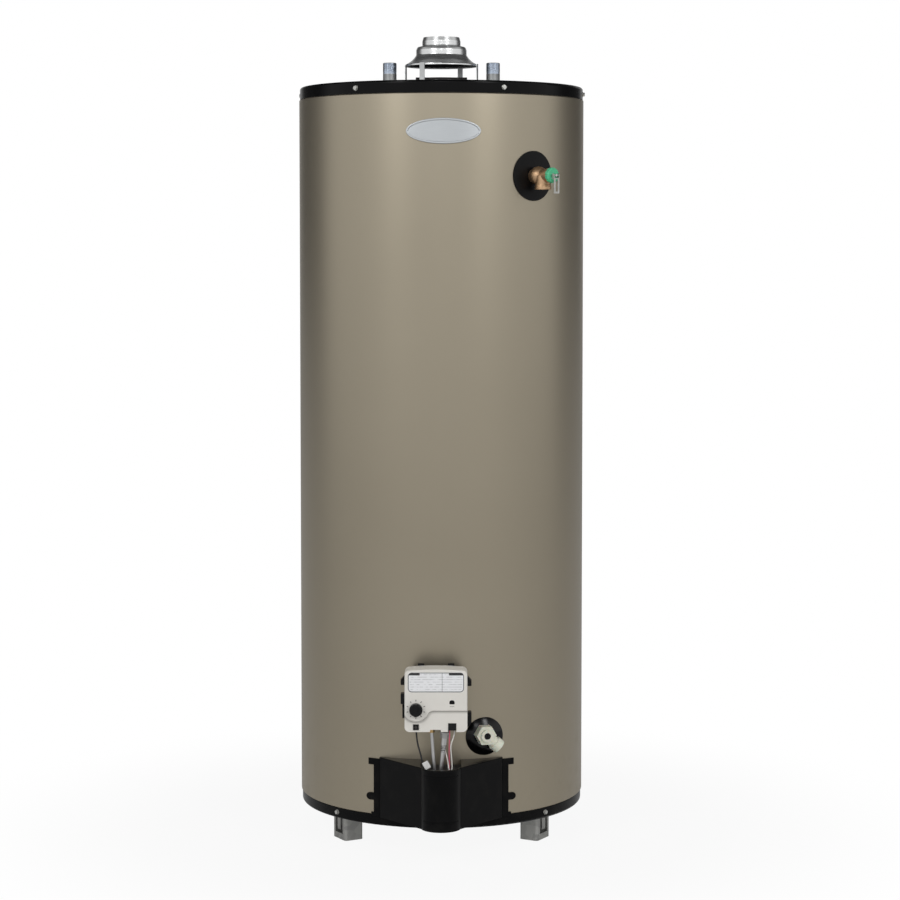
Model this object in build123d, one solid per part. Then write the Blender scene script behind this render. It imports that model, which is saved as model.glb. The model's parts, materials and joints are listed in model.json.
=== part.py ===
from build123d import *
import os
from math import asin, cos, degrees, hypot, radians, sin, sqrt, tan

# A gas tank water heater that stands on three feet. Sizes are in millimetres.
# The origin is on the floor under the tank's axis, +Z is up and the front faces -Y.
# Angles round the tank are in degrees from the front towards +X.
# A depth is a distance in front of the tank's axis, along -Y.

# Gaps between pieces that fit together
seat_gap = 0.3
edge_gap = 0.2
screw_gap = 0.2
running_gap = 0.06
slide_gap = 0.35

# Heights of the casing, from the floor up
leg_height = 59.0
base_band_height = 21.0
jacket_height = 1363.0
top_band_height = 24.0
jacket_bottom = leg_height + base_band_height
jacket_top = jacket_bottom + jacket_height
top_height = jacket_top + top_band_height

# Jacket and the two pans that close it
jacket_radius = 279.4
jacket_sheet = 0.8
pan_sheet = 1.0
base_pan_inset = 2.0
top_pan_inset = 1.4
rim_overlap = 15.0
joggle_rise = 1.5
top_corner = 5.0
base_corner = 4.0
air_opening_radius = 72.0
seam_width = 14.0
seam_rise = 1.2
base_pan_radius = jacket_radius - base_pan_inset
top_pan_radius = jacket_radius - top_pan_inset
base_rim_radius = base_pan_radius - pan_sheet - seat_gap
top_rim_radius = top_pan_radius - pan_sheet - seat_gap
base_floor = leg_height + pan_sheet

# Sheet metal screws round the pans
top_screw_angles = [-35, 25, 85, 145, 205, 265]
base_screw_angles = [-46, 46, 134, -134]
top_screw_height = top_height - 13.0
base_screw_height = jacket_bottom - 9.0
screw_radius = 1.9
screw_length = 9.0
screw_head_flats = 7.0
screw_head_height = 3.0
screw_washer_radius = 4.6
screw_washer_height = 0.9

# Feet
leg_angles = [-60, 60, 180]
leg_width = 52.0
leg_depth = 40.0
leg_outer_radius = 231.0
leg_sheet = 2.0
leg_corner = 6.0
leg_window_width = 30.0
leg_window_height = 34.0
leg_window_sill = 12.0
leg_tongue_width = 13.0
leg_tongue_gap = 7.0
leg_screw_radius = 3.0
leg_screw_flats = 10.0
leg_screw_head = 4.0
leg_screw_stand = 5.0

# Tank, its two heads and the flue through it
foam_space = 50.8
tank_wall = 2.6
tank_drop = 93.0
chamber_height = 145.0
head_sheet = 3.0
head_skirt = 22.0
top_head_rise = 50.0
bottom_head_rise = 40.0
flue_radius = 50.8
flue_wall = 2.6
flue_stub = 19.0
flue_drop = 6.0
weld_gap = 0.2
tank_top = jacket_top - tank_drop
tank_radius = jacket_radius - foam_space
tank_bore = tank_radius - tank_wall
head_radius = tank_bore - weld_gap
chamber_top = base_floor + chamber_height
flue_bore = flue_radius - flue_wall
flue_top = top_height + flue_stub

# Threaded sleeves that are welded into the tank
spud_radius = 18.0
spud_length = 30.0
pipe_radius = 13.335
pipe_bore = 10.5
thread_gap = 0.25
spud_bore = pipe_radius + thread_gap

# Water pipes and the anode on the top head
nipple_spacing = 203.2
nipple_top = top_height + 50.0
nipple_chamfer = 1.0
nipple_thread = 19.0
nipple_groove = 1.2
nipple_groove_depth = 0.6
dip_tube_radius = 9.5
dip_tube_wall = 1.4
dip_tube_clear = 45.0
dip_flange = 3.0
anode_back = 125.0
anode_radius = 10.5
anode_clear = 190.0
anode_hex = 27.0
anode_hex_height = 12.0
anode_shank = 20.0
anode_cap_radius = 24.0
anode_cap_height = 3.0
anode_cap_plug = 6.0
pan_hole_gap = 0.8

# Baffle strip in the flue
baffle_width = 70.0
baffle_sheet = 1.2
baffle_swing = 18.0
baffle_pitch = 62.0
baffle_folds = 15
baffle_ear_height = 3.0

# Draft hood
hood_sheet = 0.8
hood_rim_radius = 71.5
hood_rim_height = 3.0
hood_rim_bend = 1.5
hood_stand = 43.0
hood_flare_radius = 56.5
hood_flare_rise = 11.0
hood_flare_height = 22.0
hood_flare_bend = 40.0
hood_throat_bend = 2.5
hood_wide_radius = 49.6
hood_wide_height = 9.5
hood_shoulder_radius = 47.2
hood_shoulder_height = 15.5
hood_shoulder_bend = 3.5
hood_collar_radius = 37.6
hood_collar_foot = 17.5
hood_foot_bend = 2.0
hood_collar_height = 9.5
hood_mouth_radius = 35.4
hood_mouth_height = 17.0
hood_taper_bend = 5.0
hood_leg_angles = [-31, 76, 149, -104]
hood_leg_width = 11.0
hood_leg_sheet = 1.2
hood_foot = 12.0
hood_leg_rise = 4.0
hood_rim_bottom = top_height + hood_stand
hood_wide_bottom = hood_rim_bottom + hood_flare_height
hood_collar_bottom = hood_wide_bottom + hood_collar_foot

# Oval badge on the jacket
badge_width = 140.0
badge_height = 48.0
badge_sheet = 1.2
badge_rim = 4.0
badge_rim_rise = 1.6
badge_rim_edge = 0.9
badge_drop = 71.0
badge_angle = 1.0
badge_level = jacket_top - badge_drop

# Temperature and pressure relief valve
relief_angle = 38.5
relief_drop = 153.0
relief_disc_radius = 47.0
relief_disc_sheet = 1.5
relief_bulb_radius = 17.5
relief_bulb_out = 15.0
relief_neck_radius = 12.0
relief_bonnet_radius = 13.5
relief_bonnet_out = 50.0
relief_outlet_out = 28.0
relief_outlet_drop = 26.0
relief_outlet_radius = 13.8
relief_outlet_rim_radius = 15.5
relief_outlet_rim = 5.0
relief_outlet_flare = 5.0
relief_outlet_bore = 12.0
relief_outlet_depth = 17.0
relief_cap_radius = 14.5
relief_cap_height = 8.0
relief_grip_count = 10
relief_grip_radius = 2.2
relief_grip_out = 15.6
relief_stem_radius = 2.5
relief_stem_reach = 8.0
relief_stem_in = 14.0
relief_pin_radius = 1.2
relief_pin_out = 5.5
relief_fork_width = 13.0
relief_lever_sheet = 1.2
relief_lever_length = 34.0
relief_lever_eye = 3.6
relief_lever_slot = 5.6
relief_tongue_top = 5.4
relief_slot_top = 7.2
relief_slot_end = 3.6
relief_probe_radius = 4.0
relief_probe_length = 110.0
shank_gap = 0.6
jacket_hole_radius = 16.5
relief_level = jacket_top - relief_drop

# Drain valve
drain_angle = 16.0
drain_level = 241.0
drain_disc_radius = 36.5
drain_disc_rise = 11.0
drain_disc_sheet = 1.4
drain_disc_hole = 22.0
drain_disc_right = 5.0
drain_disc_drop = 7.0
drain_hex = 34.0
drain_hex_start = 13.0
drain_hex_length = 20.0
drain_boss_radius = 11.5
drain_boss_length = 5.0
drain_stem_radius = 6.3
drain_stem_depth = 14.0
drain_stem_recess = 1.0
drain_slot_width = 1.8
drain_slot_depth = 2.2
drain_outlet_fall = 41.0
drain_outlet_reach = 36.0
drain_hose_radius = 13.5
drain_hose_length = 13.0
drain_neck_radius = 11.0
drain_outlet_bore = 8.0
drain_outlet_bore_depth = 22.0

# Gas control: black body behind, pale cover in front
control_x = -9.0
control_width = 116.0
control_bottom = 263.0
control_side_height = 114.0
control_arch = 3.0
control_corner = 9.0
control_wall = 2.2
control_stand = 12.6
control_body_depth = 50.0
control_flange_sheet = 7.0
control_cover_seat = 38.0
control_cover_depth = 41.0
control_step_height = 3.0
control_edge = 2.5
control_step_level = 302.0
control_boss_radius = 24.0
control_boss_blend = 12.0
control_body_inset = 6.0
control_shank_level = 322.0
control_inlet_level = 291.5
control_inlet_boss = 15.0
control_inlet_reach = 72.0
control_inlet_bore = 9.3
control_inlet_depth = 16.0
control_probe_radius = 5.0
control_probe_length = 140.0
control_left_ears = [(351.5, 17.0, 1), (316.5, 19.0, 0)]
control_right_ears = [(350.0, 18.0, 1), (277.0, 29.0, -1)]
control_top_ears = [-37.0, 19.0]
control_ear_width = 12.0
control_ear_reach = 8.0
control_ear_sheet = 12.0
control_ear_slant = 9.0
control_ear_corner = 1.5
control_notch_left = -27.0
control_notch_right = 24.0
control_notch_reach = 28.0
control_mouth_left = -20.0
control_mouth_right = 0.0
control_notch_rise = 4.0
control_back = jacket_radius + control_stand
control_body_front = control_back + control_body_depth
control_cover_back = control_back + control_cover_seat
control_step_depth = control_cover_back + control_cover_depth
control_face_depth = control_step_depth + control_step_height
control_notch_depth = control_cover_back + control_notch_reach

# Dial, igniter button, light, plug and label on the gas control
dial_x = -46.0
dial_level = 306.0
dial_radius = 12.25
dial_depth = 13.0
dial_push = 3.0
dial_lift = 0.6
dial_edge = 2.5
dial_grip_width = 6.0
dial_grip_height = 4.0
dial_grip_edge = 1.2
spindle_radius = 4.0
spindle_end = 5.0
button_x = -46.0
button_level = 272.0
button_size = 10.0
button_proud = 2.5
button_travel = 4.0
button_depth = 22.0
button_pin_radius = 3.0
button_pin_length = 16.0
plug_x = 21.0
plug_level = 272.5
plug_width = 14.5
plug_height = 13.0
plug_proud = 1.5
plug_gap = 0.4
light_x = 20.6
light_level = 319.0
light_width = 9.0
light_height = 7.0
light_crown = 4.0
light_proud = 0.6
label_x = -9.0
label_level = 356.0
label_width = 104.0
label_height = 37.0
label_corner = 7.0
label_sheet = 0.5

# Tubes between the gas control and the burner
tube_set_back = 7.0
pilot_x = -18.0
pilot_knee_x = -12.0
pilot_tube_radius = 3.175
pilot_tube_bore = 2.2
pilot_nut_flats = 10.0
pilot_nut_length = 13.0
burner_x = 7.6
burner_outlet_radius = 8.0
burner_outlet_drop = 12.0
burner_tube_radius = 4.0
burner_tube_bore = 3.0
burner_nut_flats = 15.0
burner_nut_length = 8.5
burner_flange_radius = 9.5
burner_flange_sheet = 2.5
cuff_radius = 5.2
cuff_length = 14.0
rib_count = 4
rib_pitch = 3.1
rib_crest = 0.9
rib_radius = 4.5
rib_root = 3.9
burner_level = 105.0
pilot_level = 128.0
tube_bend = 26.0
pilot_bend = 22.0
tube_depth = control_body_front - tube_set_back

# Electrical leads
lead_radius = 1.15
red_x = 16.2
white_x = 25.2
white_end_x = 3.0
lead_set_back = 11.0
lead_arc_share = 0.45
lead_level = 140.0
igniter_lead_radius = 1.6
igniter_entry_x = -27.0
igniter_lead_forward = 3.0
lead_gap = 0.3
tag_width = 11.5
tag_height = 14.4
tag_sheet = 0.4
tag_x = -26.8
tag_level = 194.2
tag_lean = 29.6
lead_depth = control_step_depth - lead_set_back
igniter_depth = tube_depth + igniter_lead_forward

# Burner compartment cover
cover_bottom = 77.0
cover_top = 192.0
cover_wall = 2.4
cover_deck = 2.0
cover_half_width = 115.0
cover_wing_reach = 8.4
cover_bend = 4.0
column_bend = 3.0
cover_return = 2.0
column_radius = 37.0
column_reach = 66.6
column_root = 8.0
column_half_width = 36.0
cover_clearance = 0.5
cover_flange_half = 128.0
cover_flange_sheet = 1.6
cover_corner_tab_half = 138.0
cover_corner_tab_height = 12.0
cover_mid_tab_half = 142.0
cover_mid_tab_level = 115.0
cover_mid_tab_height = 14.0
cover_foot_half = 133.0
cover_foot_height = 8.0
cover_flange_drop = 4.0
groove_depth = 1.0
groove_height = 2.4
top_groove_level = 180.0
bottom_groove_level = 95.0
notch_half_width = 38.0
notch_reach = 23.0
cover_wing_depth = sqrt(jacket_radius**2 - cover_half_width**2) + cover_wing_reach
column_depth = jacket_radius + column_reach
notch_front = column_depth + notch_reach

# Access window and the inner door behind the cover
window_half_width = 68.0
window_bottom = 86.0
window_top = 182.0
pocket_half_width = 74.0
skirt_window_half = 50.0
skirt_window_margin = 10.0
door_margin = 2.0
gasket_thick = 2.5
gasket_margin = 4.0
door_sheet = 1.4
door_screw_angle = 14.5
grommet_left = -36.0
grommet_right = 18.0
grommet_bottom = 97.5
grommet_top = 147.0
grommet_flange = 3.0
grommet_proud = 3.0
sight_x = 35.0
sight_level = 140.0
sight_radius = 9.0
sight_sheet = 2.0

# Burner, pilot and air inlet in the chamber
burner_radius = 86.0
burner_height = 16.0
burner_sheet = 1.5
burner_port_count = 30
burner_port_width = 4.0
burner_port_height = 5.0
venturi_radius = 18.0
venturi_height = 24.0
venturi_window_width = 14.0
venturi_window_height = 14.0
orifice_radius = 16.0
orifice_height = 10.0
orifice_bore = 1.4
pilot_depth = 104.0
bracket_sheet = 1.5
bracket_half_width = 26.0
bracket_top = 150.0
pilot_burner_radius = 5.0
pilot_burner_height = 24.0
thermopile_radius = 4.2
thermopile_x = 12.0
electrode_radius = 1.5
electrode_insulator = 3.0
arrestor_radius = 82.0
arrestor_sheet = 2.0
arrestor_hole = 3.2
arrestor_pitch = 13.0
insulation_gap = 0.4
skirt_insulation_bottom = 84.0
skirt_insulation_top = 213.0
insulation_bottom = 214.0


def front(x, depth, level):
    """A plane that faces forwards: local x to the right, y up and z towards the front."""
    return Plane(origin=(x, -depth, level), x_dir=(1, 0, 0), z_dir=(0, -1, 0))


def turn(angle, piece):
    """Carries a piece that was made at the front round the tank."""
    return Rot(0, 0, angle) * piece


def turned(*corners):
    """A solid of revolution about the tank's axis, from (radius, height) corners."""
    return revolve(Plane.XZ * make_face(Polyline(*corners, close=True)), Axis.Z)


def disc(radius, height, level=0.0):
    """An upright cylinder whose lower face is at the given level."""
    return Pos(0, 0, level) * Cylinder(radius, height, align=(Align.CENTER, Align.CENTER, Align.MIN))


def ring(outer, inner, height, level=0.0):
    """An upright tube whose lower face is at the given level."""
    return disc(outer, height, level) - disc(inner, height, level)


def rod(radius, start, end, x=0.0, level=0.0):
    """A cylinder along the front's axis, from one depth to another."""
    return extrude(front(x, start, level) * Circle(radius), end - start)


def tube(radius, bore, start, end, x=0.0, level=0.0):
    """A pipe along the front's axis, from one depth to another."""
    return extrude(front(x, start, level) * (Circle(radius) - Circle(bore)), end - start)


def front_box(left, right, start, end, bottom, top):
    """A box given by its limits in x, depth and height."""
    centre = ((left + right) / 2, -(start + end) / 2, (bottom + top) / 2)
    return Pos(*centre) * Box(right - left, end - start, top - bottom)


def hexagon(across_flats):
    """A hexagon from its width across flats."""
    return RegularPolygon(across_flats / 2, 6, major_radius=False)


def cap_rise(radius, rim_radius, rise):
    """Height of a spherical cap over its rim, at a distance from its axis."""
    sphere = (rim_radius**2 + rise**2) / (2 * rise)
    return rise - sphere + sqrt(sphere**2 - radius**2)


def cap_arc(rim_radius, rise, level, end_radius):
    """The arc of a spherical cap from its rim in to a hole at its middle, as radius and height."""
    middle = (rim_radius + end_radius) / 2
    points = [(r, level + cap_rise(r, rim_radius, rise)) for r in (rim_radius, middle, end_radius)]
    return ThreePointArc(*points)


def bent_tube(points, radii, radius, bore=0.0):
    """A tube swept along straight runs and tangent arcs."""
    path = FilletPolyline(*points, radius=radii)
    start = path ^ 0
    section = Circle(radius) - Circle(bore) if bore else Circle(radius)
    return sweep(start * section, path=path)


def jacket_depth(x, clearance=0.0):
    """Depth of the jacket's surface, or of a larger cylinder round it, at a distance from the middle."""
    return sqrt((jacket_radius + clearance) ** 2 - x**2)


def sheet_screw(radius):
    """A hex washer head screw at the front, seated on a cylinder of the given radius."""
    washer = rod(screw_washer_radius, radius, radius + screw_washer_height)
    head = extrude(front(0, radius + screw_washer_height, 0) * hexagon(screw_head_flats), screw_head_height)
    shank = rod(screw_radius, radius - screw_length, radius)
    return washer + head + shank


def wedge_cut(half_width, bottom, top, reach):
    """A block in front of the tank's axis that opens a window in a wall."""
    return front_box(-half_width, half_width, 0, reach, bottom, top)


pieces = {}

# Jacket: a wrapped sheet with a folded seam behind, whose rims step in under the skirts of the two pans
jacket = turned(
    (base_rim_radius, jacket_bottom - rim_overlap),
    (base_rim_radius, jacket_bottom),
    (jacket_radius, jacket_bottom + joggle_rise),
    (jacket_radius, jacket_top - joggle_rise),
    (top_rim_radius, jacket_top),
    (top_rim_radius, jacket_top + rim_overlap),
    (top_rim_radius - jacket_sheet, jacket_top + rim_overlap),
    (top_rim_radius - jacket_sheet, jacket_top),
    (jacket_radius - jacket_sheet, jacket_top - joggle_rise),
    (jacket_radius - jacket_sheet, jacket_bottom + joggle_rise),
    (base_rim_radius - jacket_sheet, jacket_bottom),
    (base_rim_radius - jacket_sheet, jacket_bottom - rim_overlap),
)
seam_bottom = jacket_bottom + joggle_rise
seam_height = jacket_height - 2 * joggle_rise
seam = ring(jacket_radius + seam_rise, jacket_radius - jacket_sheet, seam_height, seam_bottom)
seam_back = -jacket_radius - 2 * seam_rise
jacket += seam & front_box(-seam_width / 2, seam_width / 2, seam_back, 0, seam_bottom, jacket_top)
reach = jacket_radius + jacket_sheet
jacket -= wedge_cut(window_half_width, window_bottom, window_top, reach)
jacket -= turn(relief_angle, rod(jacket_hole_radius, 0, reach, 0, relief_level))
jacket -= turn(drain_angle, rod(jacket_hole_radius, 0, reach, 0, drain_level))
jacket -= rod(jacket_hole_radius, 0, reach, control_x, control_shank_level)
screw_hole = screw_radius + screw_gap
for angle in top_screw_angles:
    jacket -= turn(angle, rod(screw_hole, 0, reach, 0, top_screw_height))
for angle in base_screw_angles:
    jacket -= turn(angle, rod(screw_hole, 0, reach, 0, base_screw_height))
pieces["jacket"] = jacket


# Pans: a flat sheet with a skirt and a rounded corner
def pan(radius, face, edge, corner, hole):
    """A round pan whose skirt runs from the outer face at one level to its free edge at another."""
    inward = pan_sheet if edge > face else -pan_sheet
    outline = make_face(
        Polyline(
            (hole, face),
            (radius, face),
            (radius, edge),
            (radius - pan_sheet, edge),
            (radius - pan_sheet, face + inward),
            (hole, face + inward),
            close=True,
        )
    )
    outer = outline.vertices().sort_by_distance((radius, face))[0]
    outline = fillet(outer, corner)
    inner = outline.vertices().sort_by_distance((radius - pan_sheet, face + inward))[0]
    outline = fillet(inner, corner - pan_sheet)
    return revolve(Plane.XZ * outline, Axis.Z)


pipe_hole = pipe_radius + pan_hole_gap
top_pan = pan(top_pan_radius, top_height, jacket_top + edge_gap, top_corner, flue_radius + pan_hole_gap)
for side in (-1, 1):
    top_pan -= Pos(side * nipple_spacing / 2, 0, 0) * disc(pipe_hole, top_height)
anode_hole = spud_radius + pan_hole_gap
top_pan -= Pos(0, anode_back, 0) * disc(anode_hole, top_height)
for angle in top_screw_angles:
    top_pan -= turn(angle, rod(screw_hole, 0, reach, 0, top_screw_height))
hood_screw_radius = hood_rim_radius + seat_gap + hood_leg_sheet + hood_foot / 2
for angle in hood_leg_angles:
    top_pan -= turn(angle, Pos(0, -hood_screw_radius, 0) * disc(screw_hole, top_height))
pieces["top_pan"] = top_pan

leg_screw_place = leg_outer_radius - leg_depth / 2
leg_screw_hole = leg_screw_radius + screw_gap
base_pan = pan(base_pan_radius, leg_height, jacket_bottom - edge_gap, base_corner, air_opening_radius)
for angle in base_screw_angles:
    base_pan -= turn(angle, rod(screw_hole, 0, reach, 0, base_screw_height))
for angle in leg_angles:
    base_pan -= turn(angle, Pos(0, -leg_screw_place, 0) * disc(leg_screw_hole, base_floor))
pieces["base_pan"] = base_pan

top_screw = Pos(0, 0, top_screw_height) * sheet_screw(top_pan_radius)
sheet_screws = [turn(angle, top_screw) for angle in top_screw_angles]
base_screw = Pos(0, 0, base_screw_height) * sheet_screw(base_pan_radius)
sheet_screws += [turn(angle, base_screw) for angle in base_screw_angles]

# Feet: stamped boxes, open at the back, with a tongue cut in the outer face
leg_plan = Pos(0, leg_depth / 2 - leg_outer_radius) * RectangleRounded(leg_width, leg_depth, leg_corner)
leg = extrude(leg_plan, leg_height)
leg_inner = leg_outer_radius - leg_depth
leg -= front_box(
    leg_sheet - leg_width / 2,
    leg_width / 2 - leg_sheet,
    leg_inner - leg_sheet,
    leg_outer_radius - leg_sheet,
    leg_sheet,
    leg_height - leg_sheet,
)
window_head = leg_window_sill + leg_window_height
window_left = -leg_window_width / 2
leg_window = front_box(
    window_left, -window_left, leg_inner, leg_outer_radius, leg_window_sill, window_head
)
leg_window -= front_box(
    -leg_tongue_width / 2,
    leg_tongue_width / 2,
    leg_inner,
    leg_outer_radius,
    leg_window_sill + leg_tongue_gap,
    window_head,
)
leg -= leg_window
leg -= Pos(0, -leg_screw_place, 0) * disc(leg_screw_hole, leg_sheet, leg_height - leg_sheet)
pieces["legs"] = Compound([turn(angle, leg) for angle in leg_angles])

leg_screw = extrude(Plane.XY.offset(leg_height - leg_sheet) * hexagon(leg_screw_flats), -leg_screw_head)
leg_screw += disc(leg_screw_radius, leg_sheet + pan_sheet + leg_screw_stand, leg_height - leg_sheet)
leg_screw = Pos(0, -leg_screw_place, 0) * leg_screw
pieces["leg_screws"] = Compound([turn(angle, leg_screw) for angle in leg_angles])

# Tank: a shell whose skirt stands on the base pan, with a domed head at each end
tank = ring(tank_radius, tank_bore, tank_top - base_floor, base_floor)
skirt_bottom = window_bottom + skirt_window_margin
skirt_top = window_top - skirt_window_margin
tank -= wedge_cut(skirt_window_half, skirt_bottom, skirt_top, tank_radius)
spud_hole = spud_radius + weld_gap
tank -= turn(relief_angle, rod(spud_hole, 0, tank_radius, 0, relief_level))
tank -= turn(drain_angle, rod(spud_hole, 0, tank_radius, 0, drain_level))
tank -= rod(spud_hole, 0, tank_radius, control_x, control_shank_level)
door_middle = (window_bottom + window_top) / 2
for angle in (-door_screw_angle, door_screw_angle):
    tank -= turn(angle, rod(screw_hole, 0, tank_radius, 0, door_middle))
pieces["tank_shell"] = tank


def head(rim, rise):
    """A domed head: a spherical cap with a skirt that hangs down inside the shell, and a flue hole."""
    hole = flue_radius + weld_gap
    inner = head_radius - head_sheet
    outer_arc = cap_arc(head_radius, rise, rim, hole)
    inner_arc = cap_arc(inner, rise - head_sheet, rim, hole)
    skirt = Polyline(inner_arc @ 0, (inner, rim - head_skirt), (head_radius, rim - head_skirt), outer_arc @ 0)
    throat = Line(outer_arc @ 1, inner_arc @ 1)
    outline = make_face([outer_arc, throat, inner_arc, *skirt.edges()])
    return revolve(Plane.XZ * outline, Axis.Z)


top_head = head(tank_top, top_head_rise)
half_nipples = nipple_spacing / 2
top_spud_places = [(-half_nipples, 0), (half_nipples, 0), (0, anode_back)]
for x, y in top_spud_places:
    top_head -= Pos(x, y, 0) * disc(spud_hole, top_height)
pieces["tank_top_head"] = top_head
pieces["tank_bottom_head"] = head(chamber_top, bottom_head_rise)

flue_bottom = chamber_top + cap_rise(flue_radius, head_radius, bottom_head_rise) - head_sheet - flue_drop
pieces["flue_tube"] = ring(flue_radius, flue_bore, flue_top - flue_bottom, flue_bottom)


def spud_top(place):
    """Upper face of a sleeve that stands through the top head."""
    return tank_top + cap_rise(hypot(*place), head_radius, top_head_rise) + spud_length / 2


spuds = []
for place in top_spud_places:
    spuds.append(Pos(*place, 0) * ring(spud_radius, spud_bore, spud_length, spud_top(place) - spud_length))
spud_start = tank_bore - spud_length / 4
spud_end = spud_start + spud_length
side_spud = tube(spud_radius, spud_bore, spud_start, spud_end)
spuds.append(turn(relief_angle, Pos(0, 0, relief_level) * side_spud))
spuds.append(turn(drain_angle, Pos(0, 0, drain_level) * side_spud))
spuds.append(Pos(control_x, 0, control_shank_level) * side_spud)
pieces["tank_spuds"] = Compound(spuds)

# Foam between the tank and the jacket, and a glass fibre band round the skirt
foam_radius = jacket_radius - jacket_sheet - insulation_gap
foam_rim = top_rim_radius - jacket_sheet - insulation_gap
foam_bore = tank_radius + insulation_gap
foam_top = top_height - pan_sheet - insulation_gap
foam_hole = flue_radius + insulation_gap
foam_arc = cap_arc(foam_bore, top_head_rise, tank_top + insulation_gap, foam_hole)
foam_sides = Polyline(
    foam_arc @ 0,
    (foam_bore, insulation_bottom),
    (foam_radius, insulation_bottom),
    (foam_radius, jacket_top - joggle_rise - foam_radius + foam_rim),
    (foam_rim, jacket_top - joggle_rise),
    (foam_rim, foam_top - top_corner),
    (foam_rim - top_corner, foam_top),
    (foam_hole, foam_top),
    foam_arc @ 1,
)
insulation = revolve(Plane.XZ * make_face([foam_arc, *foam_sides.edges()]), Axis.Z)
foam_spud = spud_radius + insulation_gap
for place in top_spud_places:
    insulation -= Pos(*place, 0) * disc(foam_spud, top_height)
insulation -= turn(relief_angle, rod(foam_spud, 0, reach, 0, relief_level))
insulation -= turn(drain_angle, rod(foam_spud, 0, reach, 0, drain_level))
insulation -= rod(foam_spud, 0, reach, control_x, control_shank_level)

skirt_band_height = skirt_insulation_top - skirt_insulation_bottom
skirt_insulation = ring(foam_radius, foam_bore, skirt_band_height, skirt_insulation_bottom)
skirt_insulation -= wedge_cut(pocket_half_width, 0, skirt_insulation_top, reach)
pieces["skirt_insulation"] = skirt_insulation

# Water pipes, dip tube and anode on the top head
nipple_bottom = spud_top(top_spud_places[0]) - spud_length / 2
nipple = ring(pipe_radius, pipe_bore, nipple_top - nipple_bottom, nipple_bottom)
nipple_rim = nipple.edges().group_by(Axis.Z)[-1].sort_by(SortBy.LENGTH)[-1]
nipple = chamfer(nipple_rim, nipple_chamfer)
groove_bottom = nipple_top - nipple_thread - nipple_groove
nipple -= ring(pipe_radius, pipe_radius - nipple_groove_depth, nipple_groove, groove_bottom)
pieces["cold_nipple"] = Pos(half_nipples, 0, 0) * nipple
pieces["hot_nipple"] = Pos(-half_nipples, 0, 0) * nipple

dip_top = nipple_bottom - edge_gap
dip_bottom = chamber_top + bottom_head_rise + dip_tube_clear
dip_tube = ring(dip_tube_radius, dip_tube_radius - dip_tube_wall, dip_top - dip_bottom, dip_bottom)
dip_tube += ring(pipe_radius, dip_tube_radius - dip_tube_wall, dip_flange, dip_top - dip_flange)
pieces["dip_tube"] = Pos(half_nipples, 0, 0) * dip_tube

anode_seat = spud_top(top_spud_places[2])
anode_plug = extrude(Plane.XY.offset(anode_seat) * hexagon(anode_hex), anode_hex_height)
anode_plug += disc(pipe_radius, anode_shank, anode_seat - anode_shank)
pieces["anode_plug"] = Pos(0, anode_back, 0) * anode_plug
anode_top = anode_seat - anode_shank
anode_bottom = chamber_top + anode_clear
pieces["anode_rod"] = Pos(0, anode_back, 0) * disc(anode_radius, anode_top - anode_bottom, anode_bottom)
anode_cap = disc(anode_cap_radius, anode_cap_height, top_height)
anode_cap = fillet(anode_cap.edges().group_by(Axis.Z)[-1], anode_cap_height / 2)
anode_cap += disc(spud_radius, anode_cap_plug, top_height - anode_cap_plug)
pieces["anode_cap"] = Pos(0, anode_back, 0) * anode_cap

# Baffle: a strip folded to and fro, which hangs in the flue from two ears on its rim
baffle_points = [(0.0, flue_top - baffle_pitch / 2)]
for fold in range(baffle_folds):
    swing = baffle_swing if fold % 2 else -baffle_swing
    baffle_points.append((swing, flue_top - baffle_pitch * (fold + 1)))
baffle_edge = [(0.0, flue_top + baffle_ear_height), *baffle_points]
baffle_back = [(y + baffle_sheet, z) for y, z in reversed(baffle_edge)]
baffle_side = make_face(Polyline(*baffle_edge, *baffle_back, close=True))
baffle = extrude(Plane.YZ * baffle_side, baffle_width / 2, both=True)
ear_half = flue_radius - seat_gap
baffle += front_box(-ear_half, ear_half, -baffle_sheet, 0, flue_top, flue_top + baffle_ear_height)
pieces["flue_baffle"] = baffle

# Draft hood: a flared skirt and two collars that narrow upwards, spun from one sheet
hood_line = FilletPolyline(
    (hood_rim_radius, hood_rim_bottom),
    (hood_rim_radius, hood_rim_bottom + hood_rim_height),
    (hood_flare_radius, hood_rim_bottom + hood_flare_rise),
    (hood_wide_radius, hood_wide_bottom),
    (hood_wide_radius, hood_wide_bottom + hood_wide_height),
    (hood_shoulder_radius, hood_wide_bottom + hood_shoulder_height),
    (hood_collar_radius, hood_collar_bottom),
    (hood_collar_radius, hood_collar_bottom + hood_collar_height),
    (hood_mouth_radius, hood_collar_bottom + hood_mouth_height),
    radius=[
        hood_rim_bend,
        hood_flare_bend,
        hood_throat_bend,
        hood_taper_bend,
        hood_shoulder_bend,
        hood_foot_bend,
        hood_taper_bend,
    ],
)
hood_section = make_face(offset(hood_line, hood_sheet, side=Side.LEFT).edges())
pieces["draft_hood"] = revolve(Plane.XZ * hood_section, Axis.Z)

hood_leg_inner = hood_rim_radius + seat_gap
hood_leg_outer = hood_leg_inner + hood_leg_sheet
hood_half = hood_leg_width / 2
hood_leg = front_box(
    -hood_half, hood_half, hood_leg_inner, hood_leg_outer, top_height, hood_rim_bottom + hood_leg_rise
)
hood_leg += front_box(
    -hood_half, hood_half, hood_leg_inner, hood_leg_outer + hood_foot, top_height, top_height + hood_leg_sheet
)
hood_leg -= Pos(0, -hood_screw_radius, 0) * disc(screw_hole, top_height + hood_leg_sheet)
hood_foot_screw = disc(screw_washer_radius, screw_washer_height)
hood_screw_head = Plane.XY.offset(screw_washer_height) * hexagon(screw_head_flats)
hood_foot_screw += extrude(hood_screw_head, screw_head_height)
hood_foot_screw += disc(screw_radius, screw_length, -screw_length)
hood_foot_screw = Pos(0, -hood_screw_radius, top_height + hood_leg_sheet) * hood_foot_screw
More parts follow.
